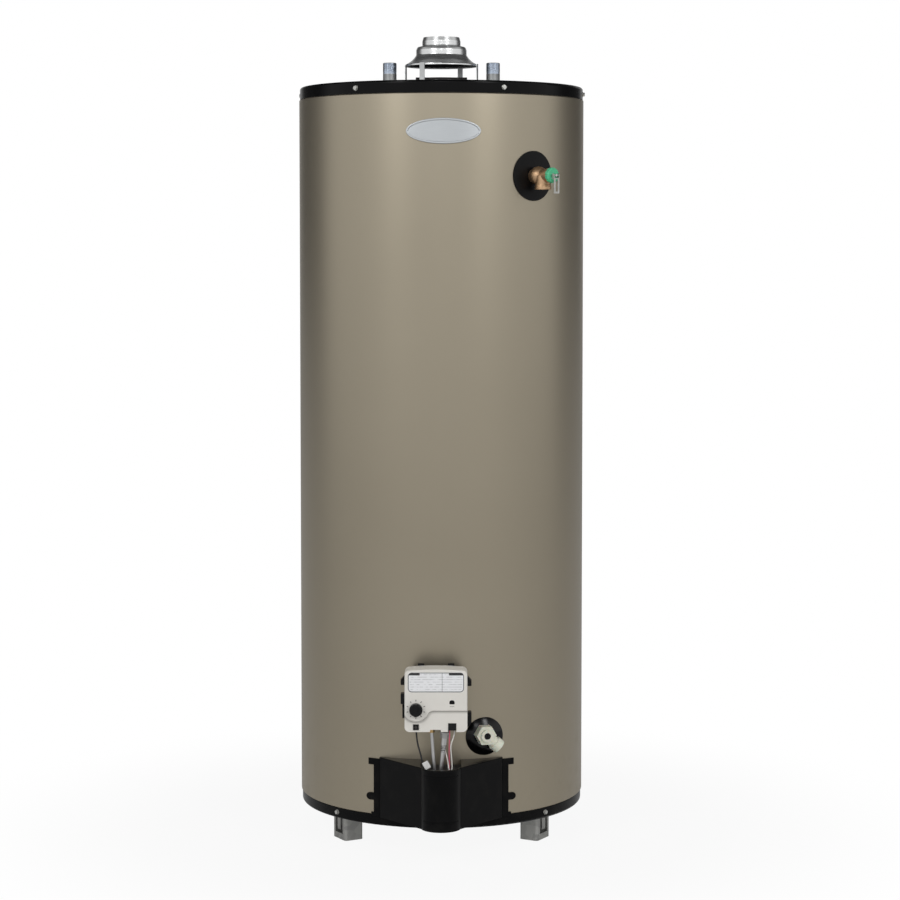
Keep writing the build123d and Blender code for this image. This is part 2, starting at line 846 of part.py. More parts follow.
pieces["hood_legs"] = Compound([turn(angle, hood_leg) for angle in hood_leg_angles])
sheet_screws += [turn(angle, hood_foot_screw) for angle in hood_leg_angles]
for angle in hood_leg_angles:
    screw_well = disc(screw_hole, screw_length * 2, foam_top - screw_length)
    insulation -= turn(angle, Pos(0, -hood_screw_radius, 0) * screw_well)
for angle in top_screw_angles:
    insulation -= turn(angle, rod(screw_hole, top_pan_radius - 2 * screw_length, reach, 0, top_screw_height))
pieces["insulation"] = insulation


# Badge and escutcheon: plates bent to the jacket
def jacket_plate(outline, sheet, angle, level):
    """A plate of a flat outline, bent to lie on the jacket."""
    inner = jacket_radius + seat_gap
    height = outline.bounding_box().size.Y
    shell = ring(inner + sheet, inner, height, level - height / 2)
    block = extrude(front(0, jacket_radius / 2, level) * outline, jacket_radius)
    return turn(angle, shell & block)


badge_oval = Ellipse(badge_width / 2, badge_height / 2)
badge_field = Ellipse(badge_width / 2 - badge_rim, badge_height / 2 - badge_rim)
badge_rim_sheet = badge_sheet + badge_rim_rise
badge = jacket_plate(badge_oval - badge_field, badge_rim_sheet, badge_angle, badge_level)
rim_face = badge.faces().filter_by(GeomType.CYLINDER).sort_by(lambda face: face.radius)[-1]
badge = fillet(rim_face.edges(), badge_rim_edge)
badge += jacket_plate(badge_field, badge_sheet, badge_angle, badge_level)
pieces["oval_badge"] = badge

# Relief valve: a brass body with a radial axis and an outlet that points down
shank_start = spud_start + seat_gap
relief_disc = Circle(relief_disc_radius) - Circle(pipe_radius + shank_gap)
pieces["relief_escutcheon"] = jacket_plate(relief_disc, relief_disc_sheet, relief_angle, relief_level)

relief_bulb_start = jacket_radius + relief_bulb_out
relief_outlet_depth_at = jacket_radius + relief_outlet_out
relief_bonnet_end = jacket_radius + relief_bonnet_out
relief_body = Pos(0, -relief_bulb_start, 0) * Sphere(relief_bulb_radius)
escutcheon_face = jacket_radius + seat_gap + relief_disc_sheet
relief_body -= disc(escutcheon_face + seat_gap, relief_bulb_radius * 2, -relief_bulb_radius)
relief_body += rod(pipe_radius, shank_start, relief_bulb_start)
relief_body += rod(relief_neck_radius, relief_bulb_start, relief_bonnet_end)
relief_body += rod(relief_bonnet_radius, relief_bonnet_end - relief_cap_height, relief_bonnet_end)
flare_bottom = relief_outlet_rim - relief_outlet_drop
outlet = turned(
    (0, -relief_outlet_drop),
    (relief_outlet_rim_radius, -relief_outlet_drop),
    (relief_outlet_rim_radius, flare_bottom),
    (relief_outlet_radius, flare_bottom + relief_outlet_flare),
    (relief_outlet_radius, 0),
    (0, 0),
)
relief_body += Pos(0, -relief_outlet_depth_at, 0) * outlet
outlet_bore = disc(relief_outlet_bore, relief_outlet_depth, -relief_outlet_drop)
relief_body -= Pos(0, -relief_outlet_depth_at, 0) * outlet_bore
stem_hole = relief_stem_radius + running_gap
relief_body -= rod(stem_hole, relief_bonnet_end - relief_stem_in, relief_bonnet_end)
relief_body += rod(relief_probe_radius, shank_start - relief_probe_length, shank_start)
pieces["relief_valve_body"] = turn(relief_angle, Pos(0, 0, relief_level) * relief_body)

relief_face = relief_bonnet_end + relief_cap_height
relief_cap = rod(relief_cap_radius, relief_bonnet_end, relief_face)
relief_cap = fillet(relief_cap.edges().group_by(Axis.Y)[0], relief_cap_height / 3)
for grip in range(relief_grip_count):
    around = radians(360 * (grip + 0.5) / relief_grip_count)
    grip_x = relief_grip_out * sin(around)
    grip_level = relief_grip_out * cos(around)
    relief_cap -= rod(relief_grip_radius, relief_bonnet_end, relief_face, grip_x, grip_level)
relief_cap -= rod(stem_hole, relief_bonnet_end, relief_face)
pieces["relief_cap"] = turn(relief_angle, Pos(0, 0, relief_level) * relief_cap)

stem_start = relief_bonnet_end - relief_stem_in + slide_gap
relief_pin_depth = relief_face + relief_pin_out
relief_stem = rod(relief_stem_radius, stem_start, relief_face + relief_stem_reach)
pin_plane = Plane(origin=(0, -relief_pin_depth, 0), z_dir=(1, 0, 0))
relief_stem -= extrude(pin_plane * Circle(relief_pin_radius + running_gap), relief_stem_radius * 2, both=True)
pieces["relief_stem"] = turn(relief_angle, Pos(0, 0, relief_level) * relief_stem)
pin_half = relief_fork_width / 2 + relief_lever_sheet
relief_pin = extrude(pin_plane * Circle(relief_pin_radius), pin_half, both=True)
pieces["relief_pin"] = turn(relief_angle, Pos(0, 0, relief_level) * relief_pin)

# Lever: two cheeks on the pin, joined by a slotted tongue that hangs in front of the cap
eye = Circle(relief_lever_eye)
cheek_side = Pos(0, relief_lever_eye) * Rectangle(2 * relief_lever_eye, 2 * relief_lever_eye) + eye
cheek_side -= Circle(relief_pin_radius + running_gap)
cheek_plane = Plane(origin=(0, -relief_pin_depth, 0), x_dir=(0, -1, 0), z_dir=(1, 0, 0))
cheek = extrude(cheek_plane * cheek_side, relief_lever_sheet)
fork_half = relief_fork_width / 2
lever = Pos(fork_half - relief_lever_sheet, 0, 0) * cheek
lever += Pos(-fork_half, 0, 0) * cheek
tongue_back = relief_pin_depth + relief_lever_eye - relief_lever_sheet
tongue_front = relief_pin_depth + relief_lever_eye
tongue = front_box(
    -fork_half, fork_half, tongue_back, tongue_front, -relief_lever_length, -relief_tongue_top
)
slot_half = relief_lever_slot / 2
tongue -= front_box(
    -slot_half,
    slot_half,
    tongue_back,
    tongue_front,
    relief_slot_end - relief_lever_length,
    -relief_slot_top,
)
lever += tongue
pieces["relief_lever"] = turn(relief_angle, Pos(0, 0, relief_level) * lever)

# Drain valve: a nylon body with a hexagon, a slotted stem and a sloping hose outlet
dish_outer = cap_arc(drain_disc_radius, drain_disc_rise, 0, drain_disc_hole)
dish_bore = drain_disc_radius - drain_disc_sheet
dish_inner = cap_arc(dish_bore, drain_disc_rise, -drain_disc_sheet, drain_disc_hole)
dish_skirt = Polyline(
    dish_inner @ 0,
    (dish_bore, -drain_disc_rise),
    (drain_disc_radius, -drain_disc_rise),
    dish_outer @ 0,
)
dish_edges = [dish_outer, Line(dish_outer @ 1, dish_inner @ 1), dish_inner, *dish_skirt.edges()]
dish = revolve(Plane.XZ * make_face(dish_edges), Axis.Z)
dish = front(drain_disc_right, jacket_radius, drain_level - drain_disc_drop) * dish
dish -= disc(jacket_radius + seat_gap, drain_level * 2)
pieces["drain_escutcheon"] = turn(drain_angle, dish)

hex_start = jacket_radius + drain_hex_start
hex_end = hex_start + drain_hex_length
hex_middle = (hex_start + hex_end) / 2
drain_face = hex_end + drain_boss_length
drain_body = rod(pipe_radius, shank_start, hex_start)
drain_hexagon = extrude(front(0, hex_start, 0) * hexagon(drain_hex), drain_hex_length)
drain_body += fillet(drain_hexagon.edges().group_by(Axis.Y)[0], drain_boss_length / 4)
drain_body += rod(drain_boss_radius, hex_end, drain_face)
fall = radians(drain_outlet_fall)
outlet_plane = Plane(origin=(0, -hex_middle, 0), z_dir=(cos(fall), 0, -sin(fall)))
drain_body += extrude(outlet_plane * Circle(drain_neck_radius), drain_outlet_reach)
hose_start = outlet_plane.offset(drain_outlet_reach - drain_hose_length)
drain_body += extrude(hose_start * Circle(drain_hose_radius), drain_hose_length)
bore_start = outlet_plane.offset(drain_outlet_reach - drain_outlet_bore_depth)
drain_body -= extrude(bore_start * Circle(drain_outlet_bore), drain_outlet_bore_depth)
stem_bore = drain_stem_radius + running_gap
drain_body -= rod(stem_bore, drain_face - drain_stem_depth, drain_face)
pieces["drain_valve_body"] = turn(drain_angle, Pos(0, 0, drain_level) * drain_body)

drain_tip = drain_face - drain_stem_recess
drain_stem = rod(drain_stem_radius, drain_face - drain_stem_depth + slide_gap, drain_tip)
slot_start = drain_tip - drain_slot_depth
slot_width = drain_slot_width / 2
drain_stem -= front_box(
    -slot_width, slot_width, slot_start, drain_tip, -drain_stem_radius, drain_stem_radius
)
pieces["drain_stem"] = turn(drain_angle, Pos(0, 0, drain_level) * drain_stem)


# Gas control: outlines are drawn as seen from the front, in x and height
def control_outline(inset=0.0):
    """The gas control's outline with an arched top edge, drawn in by an inset."""
    left = control_x - control_width / 2 + inset
    right = control_x + control_width / 2 - inset
    bottom = control_bottom + inset
    side = control_bottom + control_side_height - inset
    arch = ThreePointArc((right, side), (control_x, side + control_arch), (left, side))
    sides = Polyline((left, side), (left, bottom), (right, bottom), (right, side))
    face = make_face([arch, *sides.edges()])
    return fillet(face.vertices(), control_corner - inset / 2)


control_top = control_bottom + control_side_height + control_arch
control_shell = extrude(front(0, control_cover_back, 0) * control_outline(), control_cover_depth)
raised = control_outline() & Pos(control_x, control_step_level + control_width) * Rectangle(
    control_width * 2, control_width * 2
)
raised = raised + (Pos(dial_x, dial_level) * Circle(control_boss_radius) & control_outline())
boss_end = dial_x + sqrt(control_boss_radius**2 - (dial_level - control_step_level) ** 2)
boss_corner = raised.vertices().sort_by_distance((boss_end, control_step_level))[0]
raised = fillet(boss_corner, control_boss_blend)
control_shell += extrude(front(0, control_step_depth, 0) * raised, control_step_height)
face_edges = control_shell.faces().filter_by(Axis.Y).sort_by(Axis.Y)[0].edges()
control_shell = fillet(face_edges, control_edge)
cavity_depth = control_cover_depth - control_wall
control_shell -= extrude(front(0, control_cover_back, 0) * control_outline(control_wall), cavity_depth)

control_cuts = rod(spindle_radius + slide_gap, 0, reach * 2, dial_x, dial_level)
button_half = button_size / 2
button_window = button_half + slide_gap
control_cuts += front_box(
    button_x - button_window,
    button_x + button_window,
    control_cover_back,
    control_face_depth,
    button_level - button_window,
    button_level + button_window,
)
plug_left = plug_x - plug_width / 2
plug_right = plug_x + plug_width / 2
plug_bottom = plug_level - plug_height / 2
plug_top = plug_level + plug_height / 2
control_cuts += front_box(
    plug_left - plug_gap,
    plug_right + plug_gap,
    control_cover_back,
    control_face_depth,
    control_bottom,
    plug_top + plug_gap,
)


def light_outline(gap=0.0):
    """The status light as seen from the front, a dome with a flat foot, let out by a gap."""
    face = Pos(light_x, light_level) * Rectangle(light_width + 2 * gap, light_height + 2 * gap)
    return fillet(face.vertices().group_by(Axis.Y)[-1], light_crown + gap)


light_back = control_body_front + seat_gap
light_window = control_face_depth - light_back
control_cuts += extrude(front(0, light_back, 0) * light_outline(plug_gap), light_window)
control_cuts += front_box(
    control_notch_left,
    control_notch_right,
    control_cover_back,
    control_notch_depth,
    control_bottom,
    control_bottom + control_notch_rise,
)
control_cuts += front_box(
    control_mouth_left,
    control_mouth_right,
    control_cover_back,
    control_step_depth,
    control_bottom,
    control_bottom + control_notch_rise,
)
igniter_exit = igniter_lead_radius + lead_gap
control_cuts += Pos(button_x, -tube_depth, control_bottom) * disc(igniter_exit, control_wall * 2)
pieces["gas_control_cover"] = control_shell - control_cuts


def ear_outline(height, slant):
    """A clip on the body's right edge, with its upper or lower corner cut off at a slant."""
    tip = control_ear_reach
    top = height / 2
    corners = [(-ear_root, -top), (tip, -top), (tip, top), (-ear_root, top)]
    if slant:
        cut = [(tip, top - control_ear_slant), (0, top)]
        corners = [(-ear_root, -top), (tip, -top), *cut, (-ear_root, top)]
    face = make_face(Polyline(*corners, close=True))
    face = fillet(face.vertices().group_by(Axis.X)[-1], control_ear_corner)
    return mirror(face, Plane.XZ) if slant < 0 else face


flange_front = control_cover_back - seat_gap
flange_back = flange_front - control_flange_sheet
body_underside = control_bottom + control_body_inset
body_outline = control_outline(control_body_inset)
control_block = extrude(front(0, control_back, 0) * body_outline, control_body_depth)
control_block += extrude(front(0, flange_back, 0) * control_outline(control_wall), control_flange_sheet)
control_left = control_x - control_width / 2
control_right = control_x + control_width / 2
ear_back = flange_back - control_ear_sheet
ear_root = 2 * control_body_inset
ear_depth = flange_front - ear_back
for level, height, slant in control_left_ears:
    ear = mirror(ear_outline(height, slant), Plane.YZ)
    control_block += extrude(front(control_left, ear_back, level) * ear, ear_depth)
for level, height, slant in control_right_ears:
    ear = ear_outline(height, slant)
    control_block += extrude(front(control_right, ear_back, level) * ear, ear_depth)
for x in control_top_ears:
    control_block += front_box(
        x - control_ear_width / 2,
        x + control_ear_width / 2,
        flange_back,
        flange_front,
        control_top - ear_root,
        control_top + control_arch,
    )
inlet_depth = flange_back - control_inlet_boss
inlet_plane = Plane(origin=(-control_inlet_reach, -inlet_depth, control_inlet_level), z_dir=(-1, 0, 0))
control_block -= front_box(
    control_notch_left, control_notch_right, flange_back, flange_front, control_bottom, body_underside
)
control_block += extrude(inlet_plane * Circle(control_inlet_boss), -control_inlet_boss * 2)
control_block -= extrude(inlet_plane * Circle(control_inlet_bore), -control_inlet_depth)
outlet_level = body_underside - burner_outlet_drop
control_block += Pos(burner_x, -tube_depth, 0) * disc(burner_outlet_radius, burner_outlet_drop, outlet_level)
control_block += rod(pipe_radius, shank_start, control_back, control_x, control_shank_level)
control_block -= rod(
    spindle_radius + running_gap,
    control_body_front - spindle_end - dial_push - slide_gap,
    control_body_front,
    dial_x,
    dial_level,
)
button_pin_hole = button_pin_radius + running_gap
button_back = control_step_depth + button_proud - button_depth
pin_end = button_back - button_pin_length
control_block -= rod(
    button_pin_hole, pin_end - button_travel - slide_gap, control_body_front, button_x, button_level
)
control_block += rod(
    control_probe_radius, shank_start - control_probe_length, shank_start, control_x, control_shank_level
)
pieces["gas_control_body"] = control_block

knob_back = control_face_depth + dial_push + dial_lift
knob_front = knob_back + dial_depth
spindle_tip = knob_back + dial_depth / 2
spindle_start = control_body_front - spindle_end
pieces["dial_spindle"] = rod(spindle_radius, spindle_start, spindle_tip, dial_x, dial_level)
knob = rod(dial_radius, knob_back, knob_front - dial_grip_height, dial_x, dial_level)
knob_edge = knob.edges().group_by(Axis.Y)[0]
knob = fillet(knob_edge, dial_edge)
grip_half = dial_grip_width / 2
grip = front_box(-grip_half, grip_half, knob_back, knob_front, -dial_radius, dial_radius)
grip &= rod(dial_radius - dial_lift, knob_back, knob_front)
grip = fillet(grip.edges().group_by(Axis.Y)[0], dial_grip_edge)
knob += Pos(dial_x, 0, dial_level) * grip
knob -= rod(spindle_radius + running_gap, knob_back, spindle_tip + edge_gap, dial_x, dial_level)
pieces["dial_knob"] = knob

button_front = control_step_depth + button_proud
button = front_box(
    button_x - button_half,
    button_x + button_half,
    button_back,
    button_front,
    button_level - button_half,
    button_level + button_half,
)
button = fillet(button.edges().group_by(Axis.Y)[0], button_proud / 4)
button += rod(button_pin_radius, pin_end, button_back, button_x, button_level)
pieces["igniter_button"] = button

plug_front = control_step_depth + plug_proud
plug = front_box(
    plug_left, plug_right, control_body_front + seat_gap, plug_front, plug_bottom, plug_top
)
pieces["thermopile_plug"] = fillet(plug.edges().group_by(Axis.Y)[0], plug_proud / 3)
lens = extrude(front(0, light_back, 0) * light_outline(), light_window + light_proud)
pieces["status_light"] = fillet(lens.edges().group_by(Axis.Y)[0], light_proud / 2)
label = Pos(label_x, label_level) * RectangleRounded(label_width, label_height, label_corner)
pieces["label_panel"] = extrude(front(0, control_face_depth, 0) * label, label_sheet)

# Burner tube: nut, cuff, ribs and a plain run that turns in under the burner
knee_level = window_top - cover_wall
burner_slope = burner_x / (outlet_level - knee_level)
burner_seat = outlet_level - edge_gap - burner_flange_radius * burner_slope
burner_start = Vector(burner_x, -tube_depth, burner_seat)
burner_knee = Vector(0.0, -tube_depth, knee_level)
burner_way = (burner_knee - burner_start).normalized()
burner_frame = Plane(origin=burner_start, z_dir=burner_way)
nut_end = burner_flange_sheet + burner_nut_length
nut = extrude(burner_frame * Circle(burner_flange_radius), burner_flange_sheet)
nut += extrude(burner_frame.offset(burner_flange_sheet) * hexagon(burner_nut_flats), burner_nut_length)
nut -= extrude(burner_frame * Circle(burner_tube_radius + seat_gap), nut_end)
pieces["burner_tube_nut"] = nut

ribs_start = nut_end + edge_gap + cuff_length
rib_line = [(cuff_radius, nut_end + edge_gap), (cuff_radius, ribs_start)]
for rib in range(rib_count):
    rib_line.append((rib_root, ribs_start + rib * rib_pitch))
    crest_middle = ribs_start + (rib + 0.5) * rib_pitch
    rib_line.append((rib_radius, crest_middle - rib_crest / 2))
    rib_line.append((rib_radius, crest_middle + rib_crest / 2))
ribs_end = ribs_start + rib_count * rib_pitch
rib_line += [(rib_root, ribs_end), (burner_tube_bore, ribs_end), (burner_tube_bore, nut_end + edge_gap)]
ribbed = revolve(Plane.XZ * make_face(Polyline(*rib_line, close=True)), Axis.Z)
burner_tube = burner_frame * ribbed
collar = Circle(burner_tube_radius) - Circle(burner_tube_bore)
burner_tube += extrude(burner_frame * collar, nut_end + edge_gap)
ribs_foot = burner_start + burner_way * ribs_end
tube_points = [
    ribs_foot,
    burner_knee,
    (0.0, -tube_depth, burner_level),
    (0.0, -orifice_radius, burner_level),
]
burner_tube += bent_tube(tube_points, [tube_bend, tube_bend], burner_tube_radius, burner_tube_bore)
pieces["burner_tube"] = burner_tube

orifice = disc(orifice_radius, orifice_height, burner_level - orifice_height / 2)
orifice += disc(orifice_bore * 3, orifice_height / 2, burner_level + orifice_height / 2)
orifice -= disc(orifice_bore, orifice_height * 2, burner_level)
orifice -= rod(burner_tube_bore, 0, orifice_radius, 0, burner_level)
pieces["burner_orifice"] = orifice

# Pilot tube and its nut
pilot_slope = (pilot_knee_x - pilot_x) / (body_underside - knee_level)
pilot_start = Vector(pilot_x, -tube_depth, body_underside - edge_gap - pilot_nut_flats * pilot_slope)
pilot_knee = Vector(pilot_knee_x, -tube_depth, knee_level)
pilot_way = (pilot_knee - pilot_start).normalized()
pilot_frame = Plane(origin=pilot_start, z_dir=pilot_way)
pilot_nut = extrude(pilot_frame * hexagon(pilot_nut_flats), pilot_nut_length)
pilot_nut -= extrude(pilot_frame * Circle(pilot_tube_radius + seat_gap), pilot_nut_length)
pieces["pilot_nut"] = pilot_nut
pilot_points = [
    pilot_start,
    pilot_knee,
    (pilot_knee.X, -tube_depth, pilot_level),
    (pilot_knee.X, -pilot_depth - pilot_burner_radius - edge_gap, pilot_level),
]
pieces["pilot_tube"] = bent_tube(pilot_points, [pilot_bend, pilot_bend], pilot_tube_radius, pilot_tube_bore)


# Leads: the red one goes in to the thermopile, the white one turns back up, the black one is for the spark
def lead_arcs(points):
    """The largest arc that each corner of a lead's route has room for."""
    arcs = []
    for before, corner, after in zip(points, points[1:], points[2:]):
        way_in = Vector(*corner) - Vector(*before)
        way_out = Vector(*after) - Vector(*corner)
        shorter_run = min(way_in.length, way_out.length)
        arcs.append(lead_arc_share * shorter_run / tan(radians(way_in.get_angle(way_out) / 2)))
    return arcs


def by_tubes(x, forward, level):
    """A place on a lead's route, so far in front of the tubes."""
    return (x, -tube_depth - forward, level)


plug_under = plug_bottom - edge_gap
red_points = [
    (red_x, -lead_depth, plug_under),
    (red_x, -lead_depth, 250),
    by_tubes(15.0, 15, 222),
    by_tubes(16.4, 3, 186),
    by_tubes(thermopile_x, -7, 152),
    by_tubes(thermopile_x, -29, lead_level),
    (thermopile_x, -pilot_depth - thermopile_radius - edge_gap, lead_level),
]
pieces["thermopile_lead_red"] = bent_tube(red_points, lead_arcs(red_points), lead_radius)
white_points = [
    (white_x, -lead_depth, plug_under),
    (white_x, -lead_depth, 254),
    by_tubes(17.6, 25, 237),
    by_tubes(19.6, 21, 214),
    by_tubes(20.8, 18, 199),
    by_tubes(20.6, 17, 187),
    by_tubes(14.6, 16, 187),
    by_tubes(13.8, 13, 200),
    by_tubes(9.3, -4, 215),
    by_tubes(5.0, -12, 231),
    by_tubes(white_end_x, -15, 252),
    by_tubes(white_end_x, -15, body_underside - edge_gap),
]
pieces["thermopile_lead_white"] = bent_tube(white_points, lead_arcs(white_points), lead_radius)
igniter_points = [
    by_tubes(button_x, 0, body_underside - edge_gap),
    by_tubes(button_x, 0, 242),
    (-37.0, -igniter_depth, 212),
    (-30.5, -igniter_depth, 182),
    by_tubes(igniter_entry_x, -9, 150),
    by_tubes(igniter_entry_x, -35, lead_level),
    (igniter_entry_x, -pilot_depth - electrode_insulator - edge_gap, lead_level),
]
pieces["igniter_lead"] = bent_tube(igniter_points, lead_arcs(igniter_points), igniter_lead_radius)

tag = front_box(-tag_width / 2, tag_width / 2, 0, tag_sheet, -tag_height / 2, tag_height / 2)
tag_depth = igniter_depth + igniter_lead_radius + lead_gap
tag = Pos(tag_x, -tag_depth, tag_level) * Rot(0, -tag_lean, 0) * tag
pieces["lead_tag"] = tag


# Burner cover: a prow of sheet with a half round column, a deck and flanges on the jacket
def cover_plan(inset=0.0):
    """The cover's plan, wings and column together, drawn in by an inset."""
    half = cover_half_width - inset
    wing_foot = jacket_depth(cover_half_width + cover_return)
    hull = make_face(
        Polyline(
            (half + cover_return, -wing_foot / 2),
            (half + cover_return, -wing_foot),
            (half, -cover_wing_depth + inset),
            (column_half_width - inset, -column_depth - column_root + inset),
            (inset - column_half_width, -column_depth - column_root + inset),
            (-half, -cover_wing_depth + inset),
            (-half - cover_return, -wing_foot),
            (-half - cover_return, -wing_foot / 2),
            close=True,
        )
    )
    wing_corners = hull.vertices().filter_by(lambda place: abs(place.Y + cover_wing_depth - inset) < edge_gap)
    hull = fillet(wing_corners, cover_bend - inset)
    plan = hull + Pos(0, -column_depth) * Circle(column_radius - inset)
    junctions = [
        plan.vertices().sort_by_distance((side * column_half_width, -column_depth - column_root))[0]
        for side in (-1, 1)
    ]
    return fillet(junctions, column_bend + inset)


cover_height = cover_top - cover_bottom
cover = Pos(0, 0, cover_bottom) * extrude(cover_plan(), cover_height)
cover = fillet(cover.faces().filter_by(Axis.Z).sort_by(Axis.Z)[-1].edges(), cover_deck)
cover -= Pos(0, 0, cover_bottom) * extrude(cover_plan(cover_wall), cover_height - cover_deck)
notch = front_box(-notch_half_width, notch_half_width, 0, notch_front, cover_bottom, cover_top)
cover -= notch & Pos(0, 0, cover_bottom) * extrude(cover_plan(cover_wall), cover_height)
for level in (top_groove_level, bottom_groove_level):
    groove = ring(column_radius * 2, column_radius - groove_depth, groove_height, level - groove_height / 2)
    groove = Pos(0, -column_depth, 0) * groove
    cover -= groove & front_box(
        -column_half_width,
        column_half_width,
        column_depth + column_radius / 2,
        column_depth + column_radius * 2,
        0,
        cover_top,
    )
cover -= disc(jacket_radius + cover_clearance, cover_top * 2)

flange_outline = Pos(0, (cover_bottom + cover_top - cover_flange_drop) / 2) * Rectangle(
    2 * cover_flange_half, cover_height - cover_flange_drop
)
corner_level = cover_top - cover_flange_drop - cover_corner_tab_height / 2
flange_outline += Pos(0, corner_level) * Rectangle(2 * cover_corner_tab_half, cover_corner_tab_height)
flange_outline += Pos(0, cover_mid_tab_level) * SlotOverall(2 * cover_mid_tab_half, cover_mid_tab_height)
flange_outline += Pos(0, cover_bottom + cover_foot_height / 2) * Rectangle(
    2 * cover_foot_half, cover_foot_height
)
flange_outline -= Pos(0, cover_top / 2) * Rectangle(
    2 * (cover_half_width + cover_return - cover_wall), cover_top
)
flange_inner = jacket_radius + cover_clearance
flange_shell = ring(flange_inner + cover_flange_sheet, flange_inner, cover_top)
cover += flange_shell & extrude(front(0, jacket_radius / 2, 0) * flange_outline, jacket_radius)
pieces["burner_cover"] = cover

# Inner door on the tank's skirt, with its gasket, grommet, glass and screws
gasket_inner = tank_radius + edge_gap
gasket_outer = gasket_inner + gasket_thick
door_inner = gasket_outer + edge_gap
door_outer = door_inner + door_sheet
door_half = window_half_width - door_margin
door_bottom = window_bottom + door_margin
door_top = window_top - door_margin
gasket = ring(gasket_outer, gasket_inner, door_top - door_bottom, door_bottom)
gasket &= wedge_cut(door_half, door_bottom, door_top, reach)
gasket -= wedge_cut(
    skirt_window_half + gasket_margin, skirt_bottom - gasket_margin, skirt_top + gasket_margin, reach
)
door = ring(door_outer, door_inner, door_top - door_bottom, door_bottom)
door &= wedge_cut(door_half, door_bottom, door_top, reach)
for angle in (-door_screw_angle, door_screw_angle):
    gasket -= turn(angle, rod(screw_hole, 0, reach, 0, door_middle))
    door -= turn(angle, rod(screw_hole, 0, reach, 0, door_middle))
grommet_opening = front_box(
    grommet_left - seat_gap,
    grommet_right + seat_gap,
    0,
    reach,
    grommet_bottom - seat_gap,
    grommet_top + seat_gap,
)
door -= grommet_opening
sight_turn = degrees(asin(sight_x / door_outer))
door -= turn(sight_turn, rod(sight_radius + seat_gap, 0, reach, 0, sight_level))
pieces["inner_door"] = door
pieces["door_gasket"] = gasket

door_screw = Pos(0, 0, door_middle) * sheet_screw(door_outer)
sheet_screws += [turn(angle, door_screw) for angle in (-door_screw_angle, door_screw_angle)]
pieces["sheet_screws"] = Compound(sheet_screws)

grommet_back = sqrt(door_inner**2 - grommet_left**2) - grommet_proud
grommet_face = door_outer + grommet_proud
grommet = front_box(grommet_left, grommet_right, grommet_back, grommet_face, grommet_bottom, grommet_top)
grommet += front_box(
    grommet_left - grommet_flange,
    grommet_right + grommet_flange,
    door_outer + seat_gap,
    grommet_face,
    grommet_bottom - grommet_flange,
    grommet_top + grommet_flange,
)
grommet -= rod(burner_tube_radius + edge_gap, 0, reach, 0, burner_level)
grommet -= rod(pilot_tube_radius + edge_gap, 0, reach, pilot_knee.X, pilot_level)
grommet -= rod(lead_radius + edge_gap, 0, reach, thermopile_x, lead_level)
grommet -= rod(igniter_lead_radius + edge_gap, 0, reach, igniter_entry_x, lead_level)
pieces["door_grommet"] = grommet

glass = rod(sight_radius, door_outer - sight_sheet, door_outer + sight_sheet)
pieces["sight_glass"] = turn(sight_turn, Pos(0, 0, sight_level) * glass)

# Main burner: a flat drum with ports round its edge, on a mixing tube over the orifice
venturi_bottom = burner_level + orifice_height / 2
drum_bottom = venturi_bottom + venturi_height
drum_top = drum_bottom + burner_height
drum = ring(burner_radius, venturi_radius, burner_height, drum_bottom)
drum += disc(burner_radius, burner_sheet, drum_top - burner_sheet)
drum -= ring(
    burner_radius - burner_sheet,
    venturi_radius - burner_sheet,
    burner_height - 2 * burner_sheet,
    drum_bottom + burner_sheet,
)
drum += ring(venturi_radius, venturi_radius - burner_sheet, venturi_height + burner_sheet, venturi_bottom)
port_level = drum_bottom + burner_height / 2
for port in range(burner_port_count):
    slot = front_box(
        -burner_port_width / 2,
        burner_port_width / 2,
        burner_radius - 2 * burner_sheet,
        burner_radius + burner_sheet,
        port_level - burner_port_height / 2,
        port_level + burner_port_height / 2,
    )
    drum -= turn(360 * port / burner_port_count, slot)
air_sill = venturi_bottom + (venturi_height - venturi_window_height) / 2
for angle in (45, 135, 225, 315):
    air_slot = wedge_cut(
        venturi_window_width / 2, air_sill, air_sill + venturi_window_height, 2 * venturi_radius
    )
    drum -= turn(angle, air_slot)
pieces["main_burner"] = drum

# Pilot: a bracket hung on the burner tube that holds the pilot head, the thermopile and the electrode
bracket_back = pilot_depth - bracket_sheet / 2
bracket_front = pilot_depth + bracket_sheet / 2
bracket_bottom = burner_level - 2 * burner_tube_radius
bracket = front_box(
    igniter_entry_x - 2 * electrode_insulator,
    bracket_half_width,
    bracket_back,
    bracket_front,
    bracket_bottom,
    bracket_top,
)
bracket -= rod(burner_tube_radius + edge_gap, 0, reach, 0, burner_level)
pilot_head_x = pilot_knee.X
holes = [
    (pilot_head_x, pilot_burner_radius),
    (thermopile_x, thermopile_radius),
    (igniter_entry_x, electrode_insulator),
]
for x, radius in holes:
    bracket -= front_box(
        x - radius - edge_gap, x + radius + edge_gap, 0, reach, pilot_level - radius, bracket_top
    )
pieces["pilot_bracket"] = bracket
pilot_head = Pos(pilot_head_x, -pilot_depth, 0) * disc(
    pilot_burner_radius, pilot_burner_height, pilot_level - pilot_burner_radius
)
pilot_head -= rod(pilot_tube_bore, pilot_depth, reach, pilot_head_x, pilot_level)
pieces["pilot_burner"] = pilot_head
pieces["thermopile"] = Pos(thermopile_x, -pilot_depth, 0) * disc(
    thermopile_radius, bracket_top - pilot_level, pilot_level
)
electrode = disc(electrode_insulator, bracket_top - pilot_level, pilot_level)
electrode += disc(electrode_radius, electrode_insulator * 2, bracket_top)
pieces["igniter_electrode"] = Pos(igniter_entry_x, -pilot_depth, 0) * electrode

